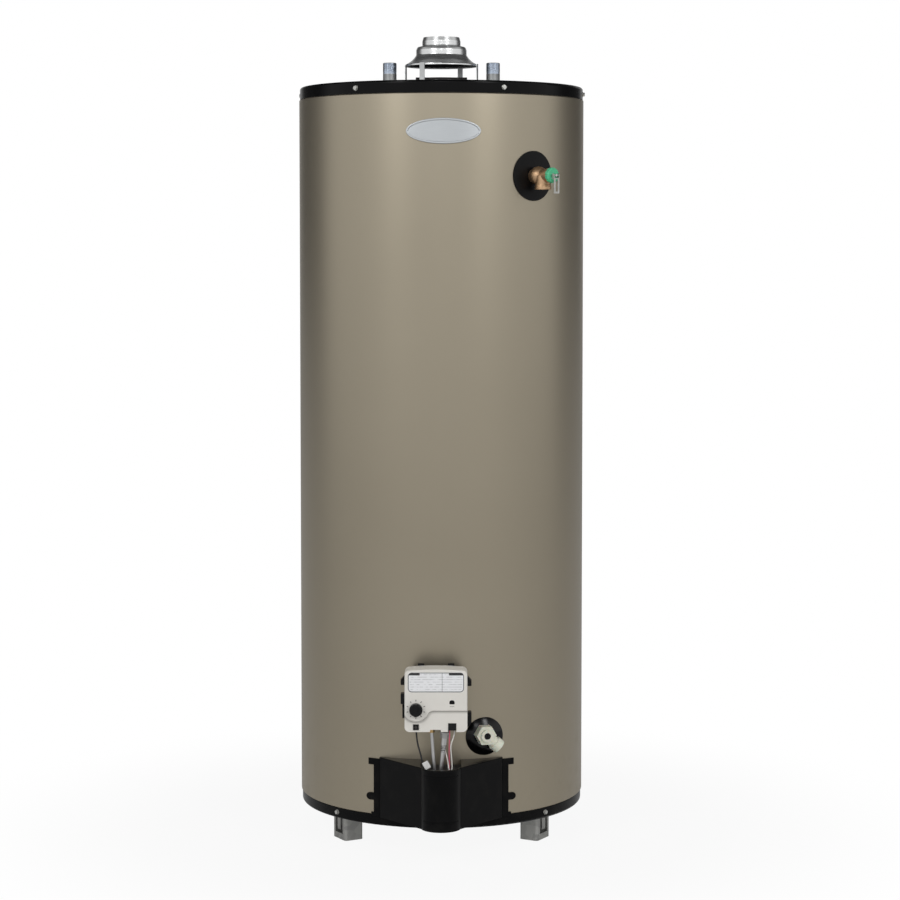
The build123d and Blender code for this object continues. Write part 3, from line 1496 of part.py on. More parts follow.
# Flame arrestor over the air opening
arrestor = disc(arrestor_radius, arrestor_sheet, base_floor)
steps = int(air_opening_radius / arrestor_pitch)
for row in range(-steps, steps + 1):
    for column in range(-steps, steps + 1):
        place = hypot(row, column) * arrestor_pitch
        if place < air_opening_radius - arrestor_hole * 2:
            hole = disc(arrestor_hole, arrestor_sheet, base_floor)
            arrestor -= Pos(row * arrestor_pitch, column * arrestor_pitch, 0) * hole
pieces["flame_arrestor"] = arrestor

os.makedirs("parts", exist_ok=True)
for name, piece in pieces.items():
    export_step(piece, f"parts/{name}.step")
print(len(pieces), "pieces written")
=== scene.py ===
# %% [markdown]
# A gas tank water heater
#
# The heater is a painted steel jacket round a steel tank, with a gas control low on its front, a burner
# compartment behind a black cover, and a draft hood over the flue on top. Its solid pieces come ready
# placed, in metres, with the floor at zero and the front towards -Y. This lesson gives each of them its
# finish and adds what is too fine for a solid: threads, printed marks, a thin washer and limp leads.

# %% Load the solid pieces
import json
import math

import bpy
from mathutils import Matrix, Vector


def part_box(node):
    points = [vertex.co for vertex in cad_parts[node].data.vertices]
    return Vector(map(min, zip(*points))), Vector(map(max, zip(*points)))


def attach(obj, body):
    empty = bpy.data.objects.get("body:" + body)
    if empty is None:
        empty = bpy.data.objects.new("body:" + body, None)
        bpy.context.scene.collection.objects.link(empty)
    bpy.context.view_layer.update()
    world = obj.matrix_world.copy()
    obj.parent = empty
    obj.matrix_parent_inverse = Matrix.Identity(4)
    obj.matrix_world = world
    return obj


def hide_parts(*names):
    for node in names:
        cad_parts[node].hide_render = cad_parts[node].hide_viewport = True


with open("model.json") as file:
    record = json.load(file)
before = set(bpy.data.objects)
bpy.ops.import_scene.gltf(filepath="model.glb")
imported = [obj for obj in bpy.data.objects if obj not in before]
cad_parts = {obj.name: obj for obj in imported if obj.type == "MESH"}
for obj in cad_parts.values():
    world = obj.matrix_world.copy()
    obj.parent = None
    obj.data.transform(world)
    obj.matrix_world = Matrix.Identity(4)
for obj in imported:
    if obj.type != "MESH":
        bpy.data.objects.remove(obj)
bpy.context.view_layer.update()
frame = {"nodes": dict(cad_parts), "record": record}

solids = frame["nodes"]

# %% [markdown]
# Camera
#
# The photograph was taken with a long lens from about three quarters of the heater's height, so that the base
# bulges downwards and the top pan is seen edge on. A camera far away with a narrow lens gives the same flat
# perspective. Most of the downward look is a tilt, and a small lens shift does the rest and keeps the sides
# of the jacket upright.

# %% Camera
camera_place = Vector((0.0169, -4.777, 1.169))
camera_tilt = 3.493
camera_lens = 96.5
camera_shift = -0.0694

camera_data = bpy.data.cameras.new("camera")
camera_data.lens = camera_lens
camera_data.shift_y = camera_shift
camera = bpy.data.objects.new("camera", camera_data)
camera.location = camera_place
camera.rotation_euler = (math.radians(90 - camera_tilt), 0, 0)
bpy.context.scene.collection.objects.link(camera)
bpy.context.scene.camera = camera
bpy.context.scene.view_settings.view_transform = "Standard"
print("camera", camera_lens, "mm lens,", round(camera_place.length, 2), "m from the floor's centre")

# %% [markdown]
# Shader maths
#
# A finish is a small calculation: where on the piece a point lies decides its colour, gloss and bumps. Nodes
# can be wired by hand in the editor, but in a script an expression reads better. The class below wraps one
# socket, and each operator adds the Math node that it stands for.


# %% Sockets as Python values
def add_node(tree, kind, settings=None, links=None, output=0):
    """Adds a node, sets it, gives its inputs values or links, and returns one of its outputs."""
    made = tree.nodes.new(kind)
    for name, value in (settings or {}).items():
        setattr(made, name, value)
    for name, value in (links or {}).items():
        if isinstance(value, Wire):
            tree.links.new(value.socket, made.inputs[name])
        else:
            made.inputs[name].default_value = value
    return Wire(tree, made.outputs[output]) if made.outputs else None


class Wire:
    """A socket that carries a value and takes part in Python expressions."""

    def __init__(self, tree, socket):
        self.tree = tree
        self.socket = socket

    def math(self, operation, *values):
        return add_node(self.tree, "ShaderNodeMath", {"operation": operation}, dict(enumerate(values)))

    def __add__(self, other):
        return self.math("ADD", self, other)

    def __radd__(self, other):
        return self.math("ADD", other, self)

    def __sub__(self, other):
        return self.math("SUBTRACT", self, other)

    def __rsub__(self, other):
        return self.math("SUBTRACT", other, self)

    def __mul__(self, other):
        return self.math("MULTIPLY", self, other)

    def __rmul__(self, other):
        return self.math("MULTIPLY", other, self)

    def __truediv__(self, other):
        return self.math("DIVIDE", self, other)

    def __pow__(self, other):
        return self.math("POWER", self, other)

    def __gt__(self, other):
        return self.math("GREATER_THAN", self, other)

    def __lt__(self, other):
        return self.math("LESS_THAN", self, other)

    def __abs__(self):
        return self.math("ABSOLUTE", self)

    def least(self, other):
        return self.math("MINIMUM", self, other)

    def most(self, other):
        return self.math("MAXIMUM", self, other)

    def smooth(self, low, high):
        """Rises smoothly from 0 at low to 1 at high."""
        links = {"Value": self, "From Min": low, "From Max": high}
        return add_node(self.tree, "ShaderNodeMapRange", {"interpolation_type": "SMOOTHSTEP"}, links)


class Graph:
    """A node tree under construction."""

    def __init__(self, tree):
        self.tree = tree
        tree.nodes.clear()

    def node(self, kind, settings=None, links=None, output=0):
        return add_node(self.tree, kind, settings, links, output)


print("operators ready")

# %% [markdown]
# Finishes
#
# Every finish starts from the point's place on the object, so a pattern has its real size whatever the piece.
# The class keeps the few nodes that the finishes share: clouds of noise, cells, a mix of two colours and
# bumps. Colours are written as a screen shows them, from 0 to 255, and turned into light.


# %% Finish builder
def shade(red, green, blue):
    """A screen colour as linear light."""
    parts = [value / 255 for value in (red, green, blue)]
    linear = [part / 12.92 if part <= 0.04045 else ((part + 0.055) / 1.055) ** 2.4 for part in parts]
    return (*linear, 1.0)


class Finish(Graph):
    """A material and the nodes that make it."""

    def __init__(self, name):
        self.material = bpy.data.materials.new(name)
        self.material.use_nodes = True
        super().__init__(self.material.node_tree)
        self.place = self.node("ShaderNodeTexCoord", output="Object")

    def noise(self, scale, detail=2.0, stretch=None):
        """Clouds, drawn out along the axes with a low stretch."""
        where = self.place
        if stretch:
            where = self.node("ShaderNodeMapping", links={"Vector": self.place, "Scale": stretch})
        return self.node("ShaderNodeTexNoise", links={"Vector": where, "Scale": scale, "Detail": detail})

    def cells(self, scale):
        """Cells that each have one random tone."""
        links = {"Vector": self.place, "Scale": scale}
        colour = self.node("ShaderNodeTexVoronoi", links=links, output="Color")
        return self.node("ShaderNodeSeparateColor", links={"Color": colour})

    def axis(self, name):
        """One coordinate of the place, in metres."""
        return self.node("ShaderNodeSeparateXYZ", links={"Vector": self.place}, output=name)

    def mix(self, factor, low, high):
        """A colour between two colours."""
        links = {0: factor, 6: low, 7: high}
        return self.node("ShaderNodeMix", {"data_type": "RGBA"}, links, 2)

    def bump(self, height, depth):
        """Bumps of a depth in metres."""
        links = {"Height": height, "Strength": 1.0, "Distance": depth}
        return self.node("ShaderNodeBump", links=links)

    def surface(self, **sockets):
        """Ends the finish: base_color=... feeds the socket Base Color, and so on."""
        labels = {name: name.replace("_", " ").title().replace("Ior", "IOR") for name in sockets}
        links = {labels[name]: value for name, value in sockets.items()}
        shader = self.node("ShaderNodeBsdfPrincipled", links=links)
        self.node("ShaderNodeOutputMaterial", links={"Surface": shader})
        return self.material


def wear(finish, *names):
    """Gives a finish to solid pieces."""
    for name in names:
        solids[name].data.materials.clear()
        solids[name].data.materials.append(finish)
    print(finish.name, "on", ", ".join(names))


# %% [markdown]
# Floor
#
# The photograph is a studio shot on white. A bent paper backdrop could be modelled, but one flat square under
# a white world shows no edge. The Light Path node tells which kind of ray asks: the camera sees white with a
# faint shadow near the heater, shiny metal sees some of that white, and any other ray meets matt grey.

# %% Floor
floor_reach = 30.0
floor_grey = 0.6
floor_mirror = 0.25
shadow_white = 0.92
shadow_near, shadow_far = 0.4, 1.1

floor_mesh = bpy.data.meshes.new("floor")
floor_corners = [(x * floor_reach, y * floor_reach, 0.0) for x, y in ((-1, -1), (1, -1), (1, 1), (-1, 1))]
floor_mesh.from_pydata(floor_corners, [], [(0, 1, 2, 3)])
floor = bpy.data.objects.new("floor", floor_mesh)
bpy.context.scene.collection.objects.link(floor)

floor_finish = Finish("studio floor")
seen = floor_finish.node("ShaderNodeLightPath", output="Is Camera Ray")
mirrored = floor_finish.node("ShaderNodeLightPath", output="Is Glossy Ray")
from_middle = {0: floor_finish.place}
distance = floor_finish.node("ShaderNodeVectorMath", {"operation": "LENGTH"}, from_middle, "Value")
fade = shadow_white + (1 - shadow_white) * distance.smooth(shadow_near, shadow_far)
white_share = seen * fade + mirrored * floor_mirror
matt = floor_finish.node("ShaderNodeBsdfDiffuse", links={"Color": (floor_grey, floor_grey, floor_grey, 1)})
glow = floor_finish.node("ShaderNodeEmission", links={"Color": (1, 1, 1, 1), "Strength": 1.0})
paper = floor_finish.node("ShaderNodeMixShader", links={0: white_share, 1: matt, 2: glow})
floor_finish.node("ShaderNodeOutputMaterial", links={"Surface": paper})
floor_mesh.materials.append(floor_finish.material)
print("floor", floor_reach * 2, "m wide")

# %% [markdown]
# Background and lamps
#
# The world is white where the camera or glass looks at it. What paint and metal see of it is bright in front,
# dim at the sides and overhead, and pale again straight behind, and that leaves the two sides of the round
# jacket darker than its middle. Two soft boxes stand in front to the left and right, a third behind the
# camera, a faint one overhead, and one behind the heater that lights the floor and isn't seen in reflections.

# %% Background
studio_bright = 0.95
studio_dim = 0.06
studio_back = 0.45
side_start, side_end = 0.08, 0.46
ceiling_start, ceiling_end = 0.3, 0.8
back_start, back_end = 0.84, 0.97

world = bpy.data.worlds.new("studio")
world.use_nodes = True
bpy.context.scene.world = world
studio = Graph(world.node_tree)
way = studio.node("ShaderNodeTexCoord", output="Generated")
backwards = studio.node("ShaderNodeSeparateXYZ", links={"Vector": way}, output="Y")
upwards = studio.node("ShaderNodeSeparateXYZ", links={"Vector": way}, output="Z")
front = (1 - backwards.smooth(side_start, side_end)) * (1 - upwards.smooth(ceiling_start, ceiling_end))
behind = backwards.smooth(back_start, back_end)
lit = studio_dim + (studio_bright - studio_dim) * front + studio_back * behind
direct = studio.node("ShaderNodeLightPath", output="Is Camera Ray")
passed = studio.node("ShaderNodeLightPath", output="Is Transmission Ray")
strength = direct + passed + (1 - direct - passed) * lit
backdrop = studio.node("ShaderNodeBackground", links={"Color": (1, 1, 1, 1), "Strength": strength})
studio.node("ShaderNodeOutputWorld", links={"Surface": backdrop})
print("background from", studio_dim, "to", studio_bright)


# %% Lamps
def soft_box(name, place, aim, width, height, power):
    """A rectangular lamp at a place, turned towards an aim."""
    data = bpy.data.lights.new(name, "AREA")
    data.shape = "RECTANGLE"
    data.size = width
    data.size_y = height
    data.energy = power
    lamp = bpy.data.objects.new(name, data)
    lamp.location = place
    lamp.rotation_euler = (Vector(aim) - Vector(place)).to_track_quat("-Z", "Y").to_euler()
    bpy.context.scene.collection.objects.link(lamp)
    return lamp


aim = (0, 0, 0.9)
soft_box("left box", (-2.5, -3.5, 3.2), aim, width=1.0, height=1.6, power=45.0)
soft_box("right box", (2.5, -3.5, 3.2), aim, width=1.0, height=1.6, power=45.0)
soft_box("front box", (0, -6.4, 3.6), aim, width=1.6, height=1.4, power=22.0)
soft_box("top box", (0, 1.6, 4.0), aim, width=2.0, height=1.5, power=2.0)
back_box = soft_box("back box", (0, 3.5, 5.5), aim, width=2.5, height=2.0, power=50.0)
back_box.visible_glossy = False

# %% [markdown]
# Baked enamel
#
# The jacket is sheet steel with a baked metallic enamel: fine flakes, the slight waviness of sprayed paint
# and an even satin gloss. The pans, the dish behind the drain valve and the burner cover have a plain black
# enamel, each with a gloss of its own. One function serves them all, with two tones, a gloss and the share of
# metal, and it adds a little dust low down.


# %% Enamel
def enamel(name, dark, light, roughness, metallic, specular):
    """Sprayed and baked paint."""
    finish = Finish(name)
    flakes = finish.noise(2600.0, 1.0)
    drift = finish.noise(2.2, 3.0)
    low_down = 1 - finish.axis("Z").smooth(dust_full, dust_none)
    dust = finish.noise(35.0, 4.0).smooth(0.45, 0.85) * low_down
    tone = finish.mix(flakes * 0.6 + drift * 0.4, dark, light)
    peel = finish.bump(finish.noise(240.0, 1.5), peel_depth)
    return finish.surface(
        base_color=finish.mix(dust * 0.02, tone, dust_tone),
        roughness=roughness + dust * 0.12 + (drift - 0.5) * 0.06,
        metallic=metallic,
        specular_ior_level=specular,
        normal=peel,
    )


dust_tone = shade(150, 144, 132)
dust_full, dust_none = 0.05, 0.35
peel_depth = 0.00002
black, soft_black = shade(8, 8, 9), shade(12, 12, 13)

wear(enamel("taupe enamel", shade(157, 148, 130), shade(178, 169, 151), roughness=0.35, metallic=0.9,
            specular=0.4), "jacket")
wear(enamel("black pan enamel", black, soft_black, roughness=0.2, metallic=0.0, specular=0.1), "top_pan",
     "base_pan")
dish_enamel = enamel("black dish enamel", shade(7, 7, 8), shade(10, 10, 11), roughness=0.18, metallic=0.0,
                     specular=0.28)
wear(dish_enamel, "drain_escutcheon")
wear(enamel("black cover enamel", black, soft_black, roughness=0.3, metallic=0.0, specular=0.09),
     "burner_cover")

# %% [markdown]
# Galvanised steel
#
# The strips under the draft hood and the feet are galvanised sheet, which shows large zinc crystals. Crystals
# are cells that each have one tone, so a Voronoi texture fits. Screws and small steel parts have the same
# coating with crystals too small to make out, so they take the same finish with more of them.


# %% Galvanised sheet
def galvanised(name, dark, light, roughness, crystals):
    """Zinc-coated steel with so many crystals to a metre."""
    finish = Finish(name)
    flower = finish.cells(crystals)
    smear = finish.noise(14.0, 4.0)
    scratch = finish.noise(60.0, 3.0, (1.0, 1.0, 14.0))
    tone = flower * 0.45 + smear * 0.4 + scratch * 0.15
    return finish.surface(
        base_color=finish.mix(tone, dark, light),
        roughness=roughness + flower * 0.12 + scratch * 0.08,
        metallic=1.0,
        normal=finish.bump(scratch * 0.4 + flower * 0.2, 0.00004),
    )


wear(galvanised("galvanised strip", shade(176, 178, 178), shade(226, 227, 227), roughness=0.3,
                crystals=95.0), "hood_legs")
wear(galvanised("galvanised foot", shade(140, 140, 138), shade(190, 190, 186), roughness=0.34,
                crystals=70.0), "legs")
wear(galvanised("zinc screw", shade(176, 176, 172), shade(216, 216, 212), roughness=0.25,
                crystals=400.0), "sheet_screws", "leg_screws")
wear(galvanised("bright steel", shade(186, 186, 184), shade(214, 214, 212), roughness=0.2,
                crystals=900.0), "relief_stem", "relief_pin")
wear(galvanised("lever steel", shade(172, 172, 168), shade(208, 208, 204), roughness=0.34,
                crystals=300.0), "relief_lever")

# %% [markdown]
# Draft hood
#
# The hood is spun from zinc-coated sheet on a lathe, and the tool leaves fine rings round it. Large crystals
# would make it look hammered. Its finish is noise that is drawn out sideways and squeezed in height instead,
# with a very shallow bump.


# %% Spun hood
def spun_zinc():
    """Zinc-coated sheet with the fine rings that the spinning tool leaves."""
    finish = Finish("spun hood")
    rings = finish.noise(90.0, 3.0, (0.1, 0.1, 12.0))
    smear = finish.noise(12.0, 3.0)
    return finish.surface(
        base_color=finish.mix(rings * 0.4 + smear * 0.6, shade(200, 202, 202), shade(240, 241, 241)),
        roughness=0.22 + rings * 0.1,
        metallic=1.0,
        normal=finish.bump(rings, 0.000008),
    )


wear(spun_zinc(), "draft_hood")

# %% [markdown]
# Tank, flue and burner steel
#
# The tank, the flue and the parts of the burner compartment are plain steel with the streaks of the rolling
# mill, and heat has turned some of it brown and blue. One function makes them all, and its heat sets how much
# of that tint covers the steel.


# %% Streaked steel
def streaked(name, dark, light, roughness, heat=0.0):
    """Plain steel with rolling streaks, browned by heat where asked."""
    finish = Finish(name)
    streak = finish.noise(30.0, 4.0, (6.0, 6.0, 0.6))
    bloom = finish.noise(22.0, 5.0)
    steel = finish.mix(streak, dark, light)
    tint = finish.mix(finish.noise(55.0, 3.0), shade(96, 66, 44), shade(70, 74, 96))
    return finish.surface(
        base_color=finish.mix(bloom.smooth(0.35, 0.8) * heat, steel, tint),
        roughness=roughness + bloom * 0.2,
        metallic=0.9,
        normal=finish.bump(streak * 0.5 + finish.noise(500.0) * 0.5, 0.00003),
    )


wear(streaked("tank steel", shade(92, 90, 88), shade(120, 118, 114), roughness=0.45), "tank_shell",
     "tank_top_head", "tank_bottom_head", "tank_spuds")
wear(streaked("flue steel", shade(34, 33, 33), shade(58, 56, 54), roughness=0.5, heat=0.5), "flue_tube",
     "flue_baffle")
wear(streaked("burner steel", shade(110, 106, 100), shade(150, 146, 140), roughness=0.4, heat=0.7),
     "main_burner", "burner_orifice", "pilot_bracket", "pilot_burner", "thermopile", "flame_arrestor")
wear(streaked("door steel", shade(150, 148, 144), shade(178, 176, 172), roughness=0.36, heat=0.2),
     "inner_door")

# %% [markdown]
# Water pipes
#
# The two water pipes are dull galvanised steel low down and bright bluish zinc at the thread. Two finishes
# would need the pipe cut in two, so one finish blends from the first to the second by height.

# %% Water pipe
thread_length = 0.0215
thread_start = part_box("hot_nipple")[1].z - thread_length
thread_blur = 0.001


def pipe_zinc():
    """Dull zinc below the thread and bright bluish zinc on it."""
    finish = Finish("pipe zinc")
    smear = finish.noise(40.0, 4.0)
    rings = finish.noise(160.0, 2.0, (0.2, 0.2, 6.0))
    body = finish.mix(smear, shade(120, 122, 122), shade(176, 178, 178))
    thread = finish.mix(rings, shade(136, 150, 170), shade(204, 213, 226))
    upper = finish.axis("Z").smooth(thread_start - thread_blur, thread_start + thread_blur)
    return finish.surface(
        base_color=finish.mix(upper, body, thread),
        roughness=0.38 - upper * 0.2 + smear * 0.1,
        metallic=1.0,
        normal=finish.bump(smear * 0.6 + rings * 0.4, 0.00005),
    )


wear(pipe_zinc(), "hot_nipple", "cold_nipple")

# %% [markdown]
# Brass and aluminium
#
# The relief valve is a brass casting, grainy and slightly tarnished, and the nuts are turned and smoother.
# The gas tubes are drawn aluminium, with fine lines along their length. The ribs of the burner tube are in
# the solid, and a mask darkens the grooves between them, where little light gets in.


# %% Brass and aluminium
def cast_brass(name, dark, light, roughness, grain):
    """Cast or turned metal, with a grain of a depth in metres and patches of tarnish."""
    finish = Finish(name)
    cast = finish.noise(620.0, 3.0)
    tarnish = finish.noise(70.0, 4.0)
    return finish.surface(
        base_color=finish.mix(tarnish * 0.75 + cast * 0.25, dark, light),
        roughness=roughness + tarnish * 0.16,
        metallic=1.0,
        normal=finish.bump(cast, grain),
    )


rib_drop = 0.0252
rib_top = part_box("burner_tube")[1].z - rib_drop
rib_pitch = 0.0031
rib_count = 4
# The colour of the painted shade in the grooves between the ribs.
groove_shade = shade(40, 40, 40)


def rib_shadow(finish):
    """Painted shade in the grooves between the ribs of the burner tube."""
    below = (rib_top - finish.axis("Z")) / rib_pitch
    groove = abs(below.math("FRACT", below) - 0.5).smooth(0.2, 0.34)
    return groove * (below > 0) * (below < rib_count)


def drawn_aluminium(name, marks=None):
    """Drawn tube with fine lines along its length, with painted shade from the marks where they are given."""
    finish = Finish(name)
    lines = finish.noise(300.0, 2.0, (4.0, 4.0, 0.15))
    smear = finish.noise(25.0, 3.0)
    metal = finish.mix(smear, shade(186, 186, 184), shade(222, 222, 222))
    return finish.surface(
        base_color=finish.mix(marks(finish), metal, groove_shade) if marks else metal,
        roughness=0.28 + lines * 0.14,
        metallic=1.0,
        normal=finish.bump(lines, 0.00002),
    )


wear(cast_brass("cast brass", shade(172, 138, 104), shade(212, 180, 146), roughness=0.4, grain=0.00008),
     "relief_valve_body")
wear(cast_brass("turned brass", shade(182, 146, 92), shade(220, 186, 130), roughness=0.28, grain=0.00002),
     "pilot_nut", "anode_plug")
wear(cast_brass("plated nut", shade(150, 150, 148), shade(198, 198, 196), roughness=0.32, grain=0.00004),
     "burner_tube_nut")
wear(drawn_aluminium("drawn aluminium"), "pilot_tube")
wear(drawn_aluminium("ribbed aluminium", rib_shadow), "burner_tube")

# %% [markdown]
# Mouldings
#
# The gas control is a black casting with an off-white moulded cover. A moulding has an even colour with a
# faint cloudiness, and the fine grain that the mould was etched with. The nylon drain valve is a little
# yellower and glossier, and lets some light in. One function makes every plastic and rubber piece, and a few
# other smooth ones, such as the ceramic electrode.


# %% Moulded plastics and rubber
def moulded(name, dark, light, roughness, grain=0.00002, depth=0.0, specular=0.5, marks=None):
    """Moulded plastic or rubber. A depth above 0 lets light into it."""
    finish = Finish(name)
    etched = finish.noise(1500.0, 2.0)
    cloud = finish.noise(28.0, 3.0)
    rub = finish.noise(90.0, 4.0).smooth(0.55, 0.9)
    colour = finish.mix(cloud * 0.7 + etched * 0.3, dark, light)
    return finish.surface(
        base_color=finish.mix(marks(finish), colour, ink_and_shade) if marks else colour,
        roughness=roughness + cloud * 0.08 - rub * 0.06,
        subsurface_weight=depth,
        subsurface_scale=light_reach,
        specular_ior_level=specular,
        normal=finish.bump(etched, grain),
    )


light_reach = 0.002
# The ink colour of the printed marks, also used for the painted shade below the cover's step.
ink_and_shade = shade(104, 100, 96)
print("a moulding lets light in by", light_reach, "m")

# %% [markdown]
# Marks and painted shade on the gas control
#
# The cover has a short printed line under its status light and a painted shade below its step and round the
# dial's boss, and the igniter button has a small ring. A mark could be a thin piece of mesh, but a mask
# worked
# out from the place is lighter: it is 1 on a mark, 0 beside it and in between where the painted shade fades,
# and mixes the ink colour into the colour, for the painted shade too.

# %% Masks of the marks
light_low, light_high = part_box("status_light")
line_half, line_thin, line_drop = 0.0042, 0.0004, 0.0047
dial_low, dial_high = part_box("dial_knob")
dial_middle = (dial_low + dial_high) / 2
# The step and the boss round the dial set where the painted shade lies on the cover below them.
step_level, boss_radius, boss_blend = 0.302, 0.024, 0.012
step_shade_reach, step_shade_strength = 0.0065, 0.55
face_depth = 0.022
face_back = dial_low.y + face_depth
button_low, button_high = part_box("igniter_button")
button_middle = (button_low + button_high) / 2
ring_radius, ring_thin = 0.0016, 0.0003


def cover_marks_and_shade(finish):
    """A short printed line under the status light, and a painted shade under the step and round the dial."""
    x, z = finish.axis("X"), finish.axis("Z")
    along = abs(x - (light_low.x + light_high.x) / 2) < line_half
    line = along * (abs(z - light_low.z + line_drop) < line_thin)
    from_boss = ((x - dial_middle.x) ** 2 + (z - dial_middle.z) ** 2) ** 0.5 - boss_radius
    below = from_boss.math("SMOOTH_MIN", from_boss, step_level - z, boss_blend)
    on_face = finish.axis("Y") < face_back
    return line.most((below > 0) * (1 - below.smooth(0.0, step_shade_reach)) * on_face * step_shade_strength)


def button_ring(finish):
    """A small ring on the middle of the igniter button."""
    across, up = finish.axis("X") - button_middle.x, finish.axis("Z") - button_middle.z
    return abs((across ** 2 + up ** 2) ** 0.5 - ring_radius) < ring_thin


print("step of the cover at", step_level, "m, boss round", [round(value, 3) for value in dial_middle])

# %% Moulded pieces
wear(moulded("control cover plastic", shade(226, 223, 216), shade(238, 235, 228), roughness=0.42,
             marks=cover_marks_and_shade), "gas_control_cover")
wear(moulded("control casting", shade(14, 14, 15), shade(22, 22, 23), roughness=0.5, grain=0.00006,
             specular=0.2), "gas_control_body")
wear(moulded("gloss black plastic", shade(10, 10, 11), shade(16, 16, 17), roughness=0.12, grain=0.000004,
             specular=0.25), "dial_knob", "status_light")
wear(moulded("button plastic", shade(12, 12, 13), shade(20, 20, 21), roughness=0.4, specular=0.25,
             marks=button_ring), "igniter_button")
wear(moulded("black plastic", shade(14, 14, 15), shade(22, 22, 23), roughness=0.4, specular=0.25),
     "thermopile_plug", "dial_spindle", "drain_stem", "anode_cap")
wear(moulded("green plastic", shade(62, 176, 126), shade(96, 204, 154), roughness=0.38, grain=0.00006,
             depth=0.1), "relief_cap")
wear(moulded("white nylon", shade(226, 227, 208), shade(242, 242, 226), roughness=0.34, grain=0.00001,
             depth=0.1), "drain_valve_body")
wear(moulded("door rubber", shade(30, 30, 30), shade(44, 44, 44), roughness=0.7, grain=0.00004),
     "door_grommet", "door_gasket")
wear(moulded("dip tube plastic", shade(214, 216, 220), shade(230, 232, 236), roughness=0.4, grain=0.00001,
             depth=0.1), "dip_tube")
wear(moulded("glazed ceramic", shade(226, 222, 212), shade(240, 238, 230), roughness=0.22, grain=0.00001),
     "igniter_electrode")
wear(moulded("relief disc enamel", shade(9, 9, 10), shade(14, 14, 15), roughness=0.3, specular=0.15),
     "relief_escutcheon")
wear(moulded("anode magnesium", shade(150, 150, 150), shade(184, 184, 182), roughness=0.55, grain=0.0001),
     "anode_rod")

# %% [markdown]
# Insulation and glass
#
# Foam fills the gap between the tank and the jacket, and a glass fibre blanket goes round the burner
# compartment. Foam is fine bubbles and the blanket fine strands, both with larger clumps, and paper is the
# same on a smaller scale, so one finish serves all three. The window in the inner door is clear glass with
# a few smears.


# %% Insulation and glass
def fluffy(name, dark, light, scale, stretch, depth):
    """Fibres or bubbles with bumps of a depth in metres."""
    finish = Finish(name)
    strands = finish.noise(scale, 6.0, stretch)
    clumps = finish.noise(scale / 12, 3.0)
    return finish.surface(
        base_color=finish.mix(strands * 0.6 + clumps * 0.4, dark, light),
        roughness=0.9,
        normal=finish.bump(strands, depth),
    )


def window_glass():
    """Clear glass with smears."""
    finish = Finish("window glass")
    return finish.surface(
        base_color=finish.mix(finish.noise(50.0, 3.0), shade(206, 216, 210), shade(232, 240, 236)),
        roughness=0.04 + finish.noise(120.0, 3.0).smooth(0.5, 0.9) * 0.15,
        transmission_weight=0.9,
        ior=1.5,
    )


wear(fluffy("foam", shade(214, 190, 120), shade(236, 216, 152), scale=240.0, stretch=(1, 1, 1),
            depth=0.0006), "insulation")
wear(fluffy("glass fibre", shade(216, 206, 170), shade(240, 232, 204), scale=300.0, stretch=(1, 1, 6),
            depth=0.001), "skirt_insulation")
wear(window_glass(), "sight_glass")

# %% [markdown]
# Badge
#
# The oval badge is plain brushed metal with a raised rim. Brush marks could be a bump alone, but they also
# scatter light, so the same drawn-out noise feeds its colour, its roughness and its bumps.


# %% Badge metal
def badge_metal():
    """Brushed metal, with the brush marks drawn out sideways."""
    finish = Finish("badge metal")
    brushed = finish.noise(900.0, 2.0, (0.05, 0.05, 1.0))
    cloud = finish.noise(18.0, 3.0)
    return finish.surface(
        base_color=finish.mix(cloud * 0.5 + brushed * 0.5, shade(178, 182, 185), shade(198, 202, 205)),
        roughness=0.34 + brushed * 0.12,
        metallic=0.85,
        normal=finish.bump(brushed, 0.00002),
    )


wear(badge_metal(), "oval_badge")

# %% [markdown]
# Label and tag
#
# The label on the gas control is a white film with a dark rounded outline, two bars along its top, a dividing
# line and faint ruled rows. The lines could be thin strips of mesh, but here they are masks worked out from
# the place on the film, so they stay sharp and lie flat. The tag on the igniter's lead is plain paper.

# %% Label film
label_low, label_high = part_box("label_panel")
label_line = 0.0013
label_corner = 0.0075
label_margin = 0.0003
label_row = 0.0046
row_fill, row_strength = 0.3, 0.3
row_margin = 2.5 * label_line
bar_height, bar_shift, bar_start = 0.0052, 0.003, 0.52
divider_place = 0.22
label_ink = shade(40, 40, 42)


def label_film():
    """White film. Each mask is 1 where its line is printed."""
    finish = Finish("label film")
    middle = (label_low + label_high) / 2
    half = (label_high - label_low) / 2
    across, up = finish.axis("X") - middle.x, finish.axis("Z") - middle.z
    past_side = abs(across) - (half.x - label_corner)
    past_end = abs(up) - (half.z - label_corner)
    round_off = (past_side.most(0) ** 2 + past_end.most(0) ** 2) ** 0.5
    inside = label_corner - round_off - past_side.most(past_end).least(0)
    printed = inside > label_margin
    outline = printed * (inside < label_margin + label_line)
    bars = (up > half.z - label_margin - bar_height) * (abs(across + bar_shift) > bar_start * half.x)
    divider = abs(across - divider_place * half.x) < label_line / 4
    rows = up / label_row
    broken = finish.noise(170.0).smooth(0.35, 0.6)
    rule = (rows.math("FRACT", rows) < row_fill) * (inside > row_margin) * broken
    marks = outline.most(bars * printed).most(divider * printed).most(rule * row_strength)
    film = finish.mix(finish.noise(60.0, 3.0), shade(240, 241, 243), shade(248, 249, 251))
    return finish.surface(
        base_color=finish.mix(marks, film, label_ink),
        roughness=0.32 + finish.noise(200.0) * 0.1,
        coat_weight=0.2,
    )


wear(label_film(), "label_panel")
wear(fluffy("tag paper", shade(226, 226, 224), shade(242, 242, 240), scale=900.0, stretch=(1, 1, 1),
            depth=0.00003), "lead_tag")

# %% [markdown]
# Electrical leads
#
# A red lead runs from its plug on the gas control to the thermopile, a white one hangs in a loop and goes
# back up into the control, and a thicker black one feeds the spark electrode. They hang free between the
# control and the burner compartment. A lead could be a mesh tube, but a curve with a round bevel is lighter,
# and a NURBS spline follows its few points without kinks.

# %% Leads
lead_radius = 0.00115
spark_lead_radius = 0.0016


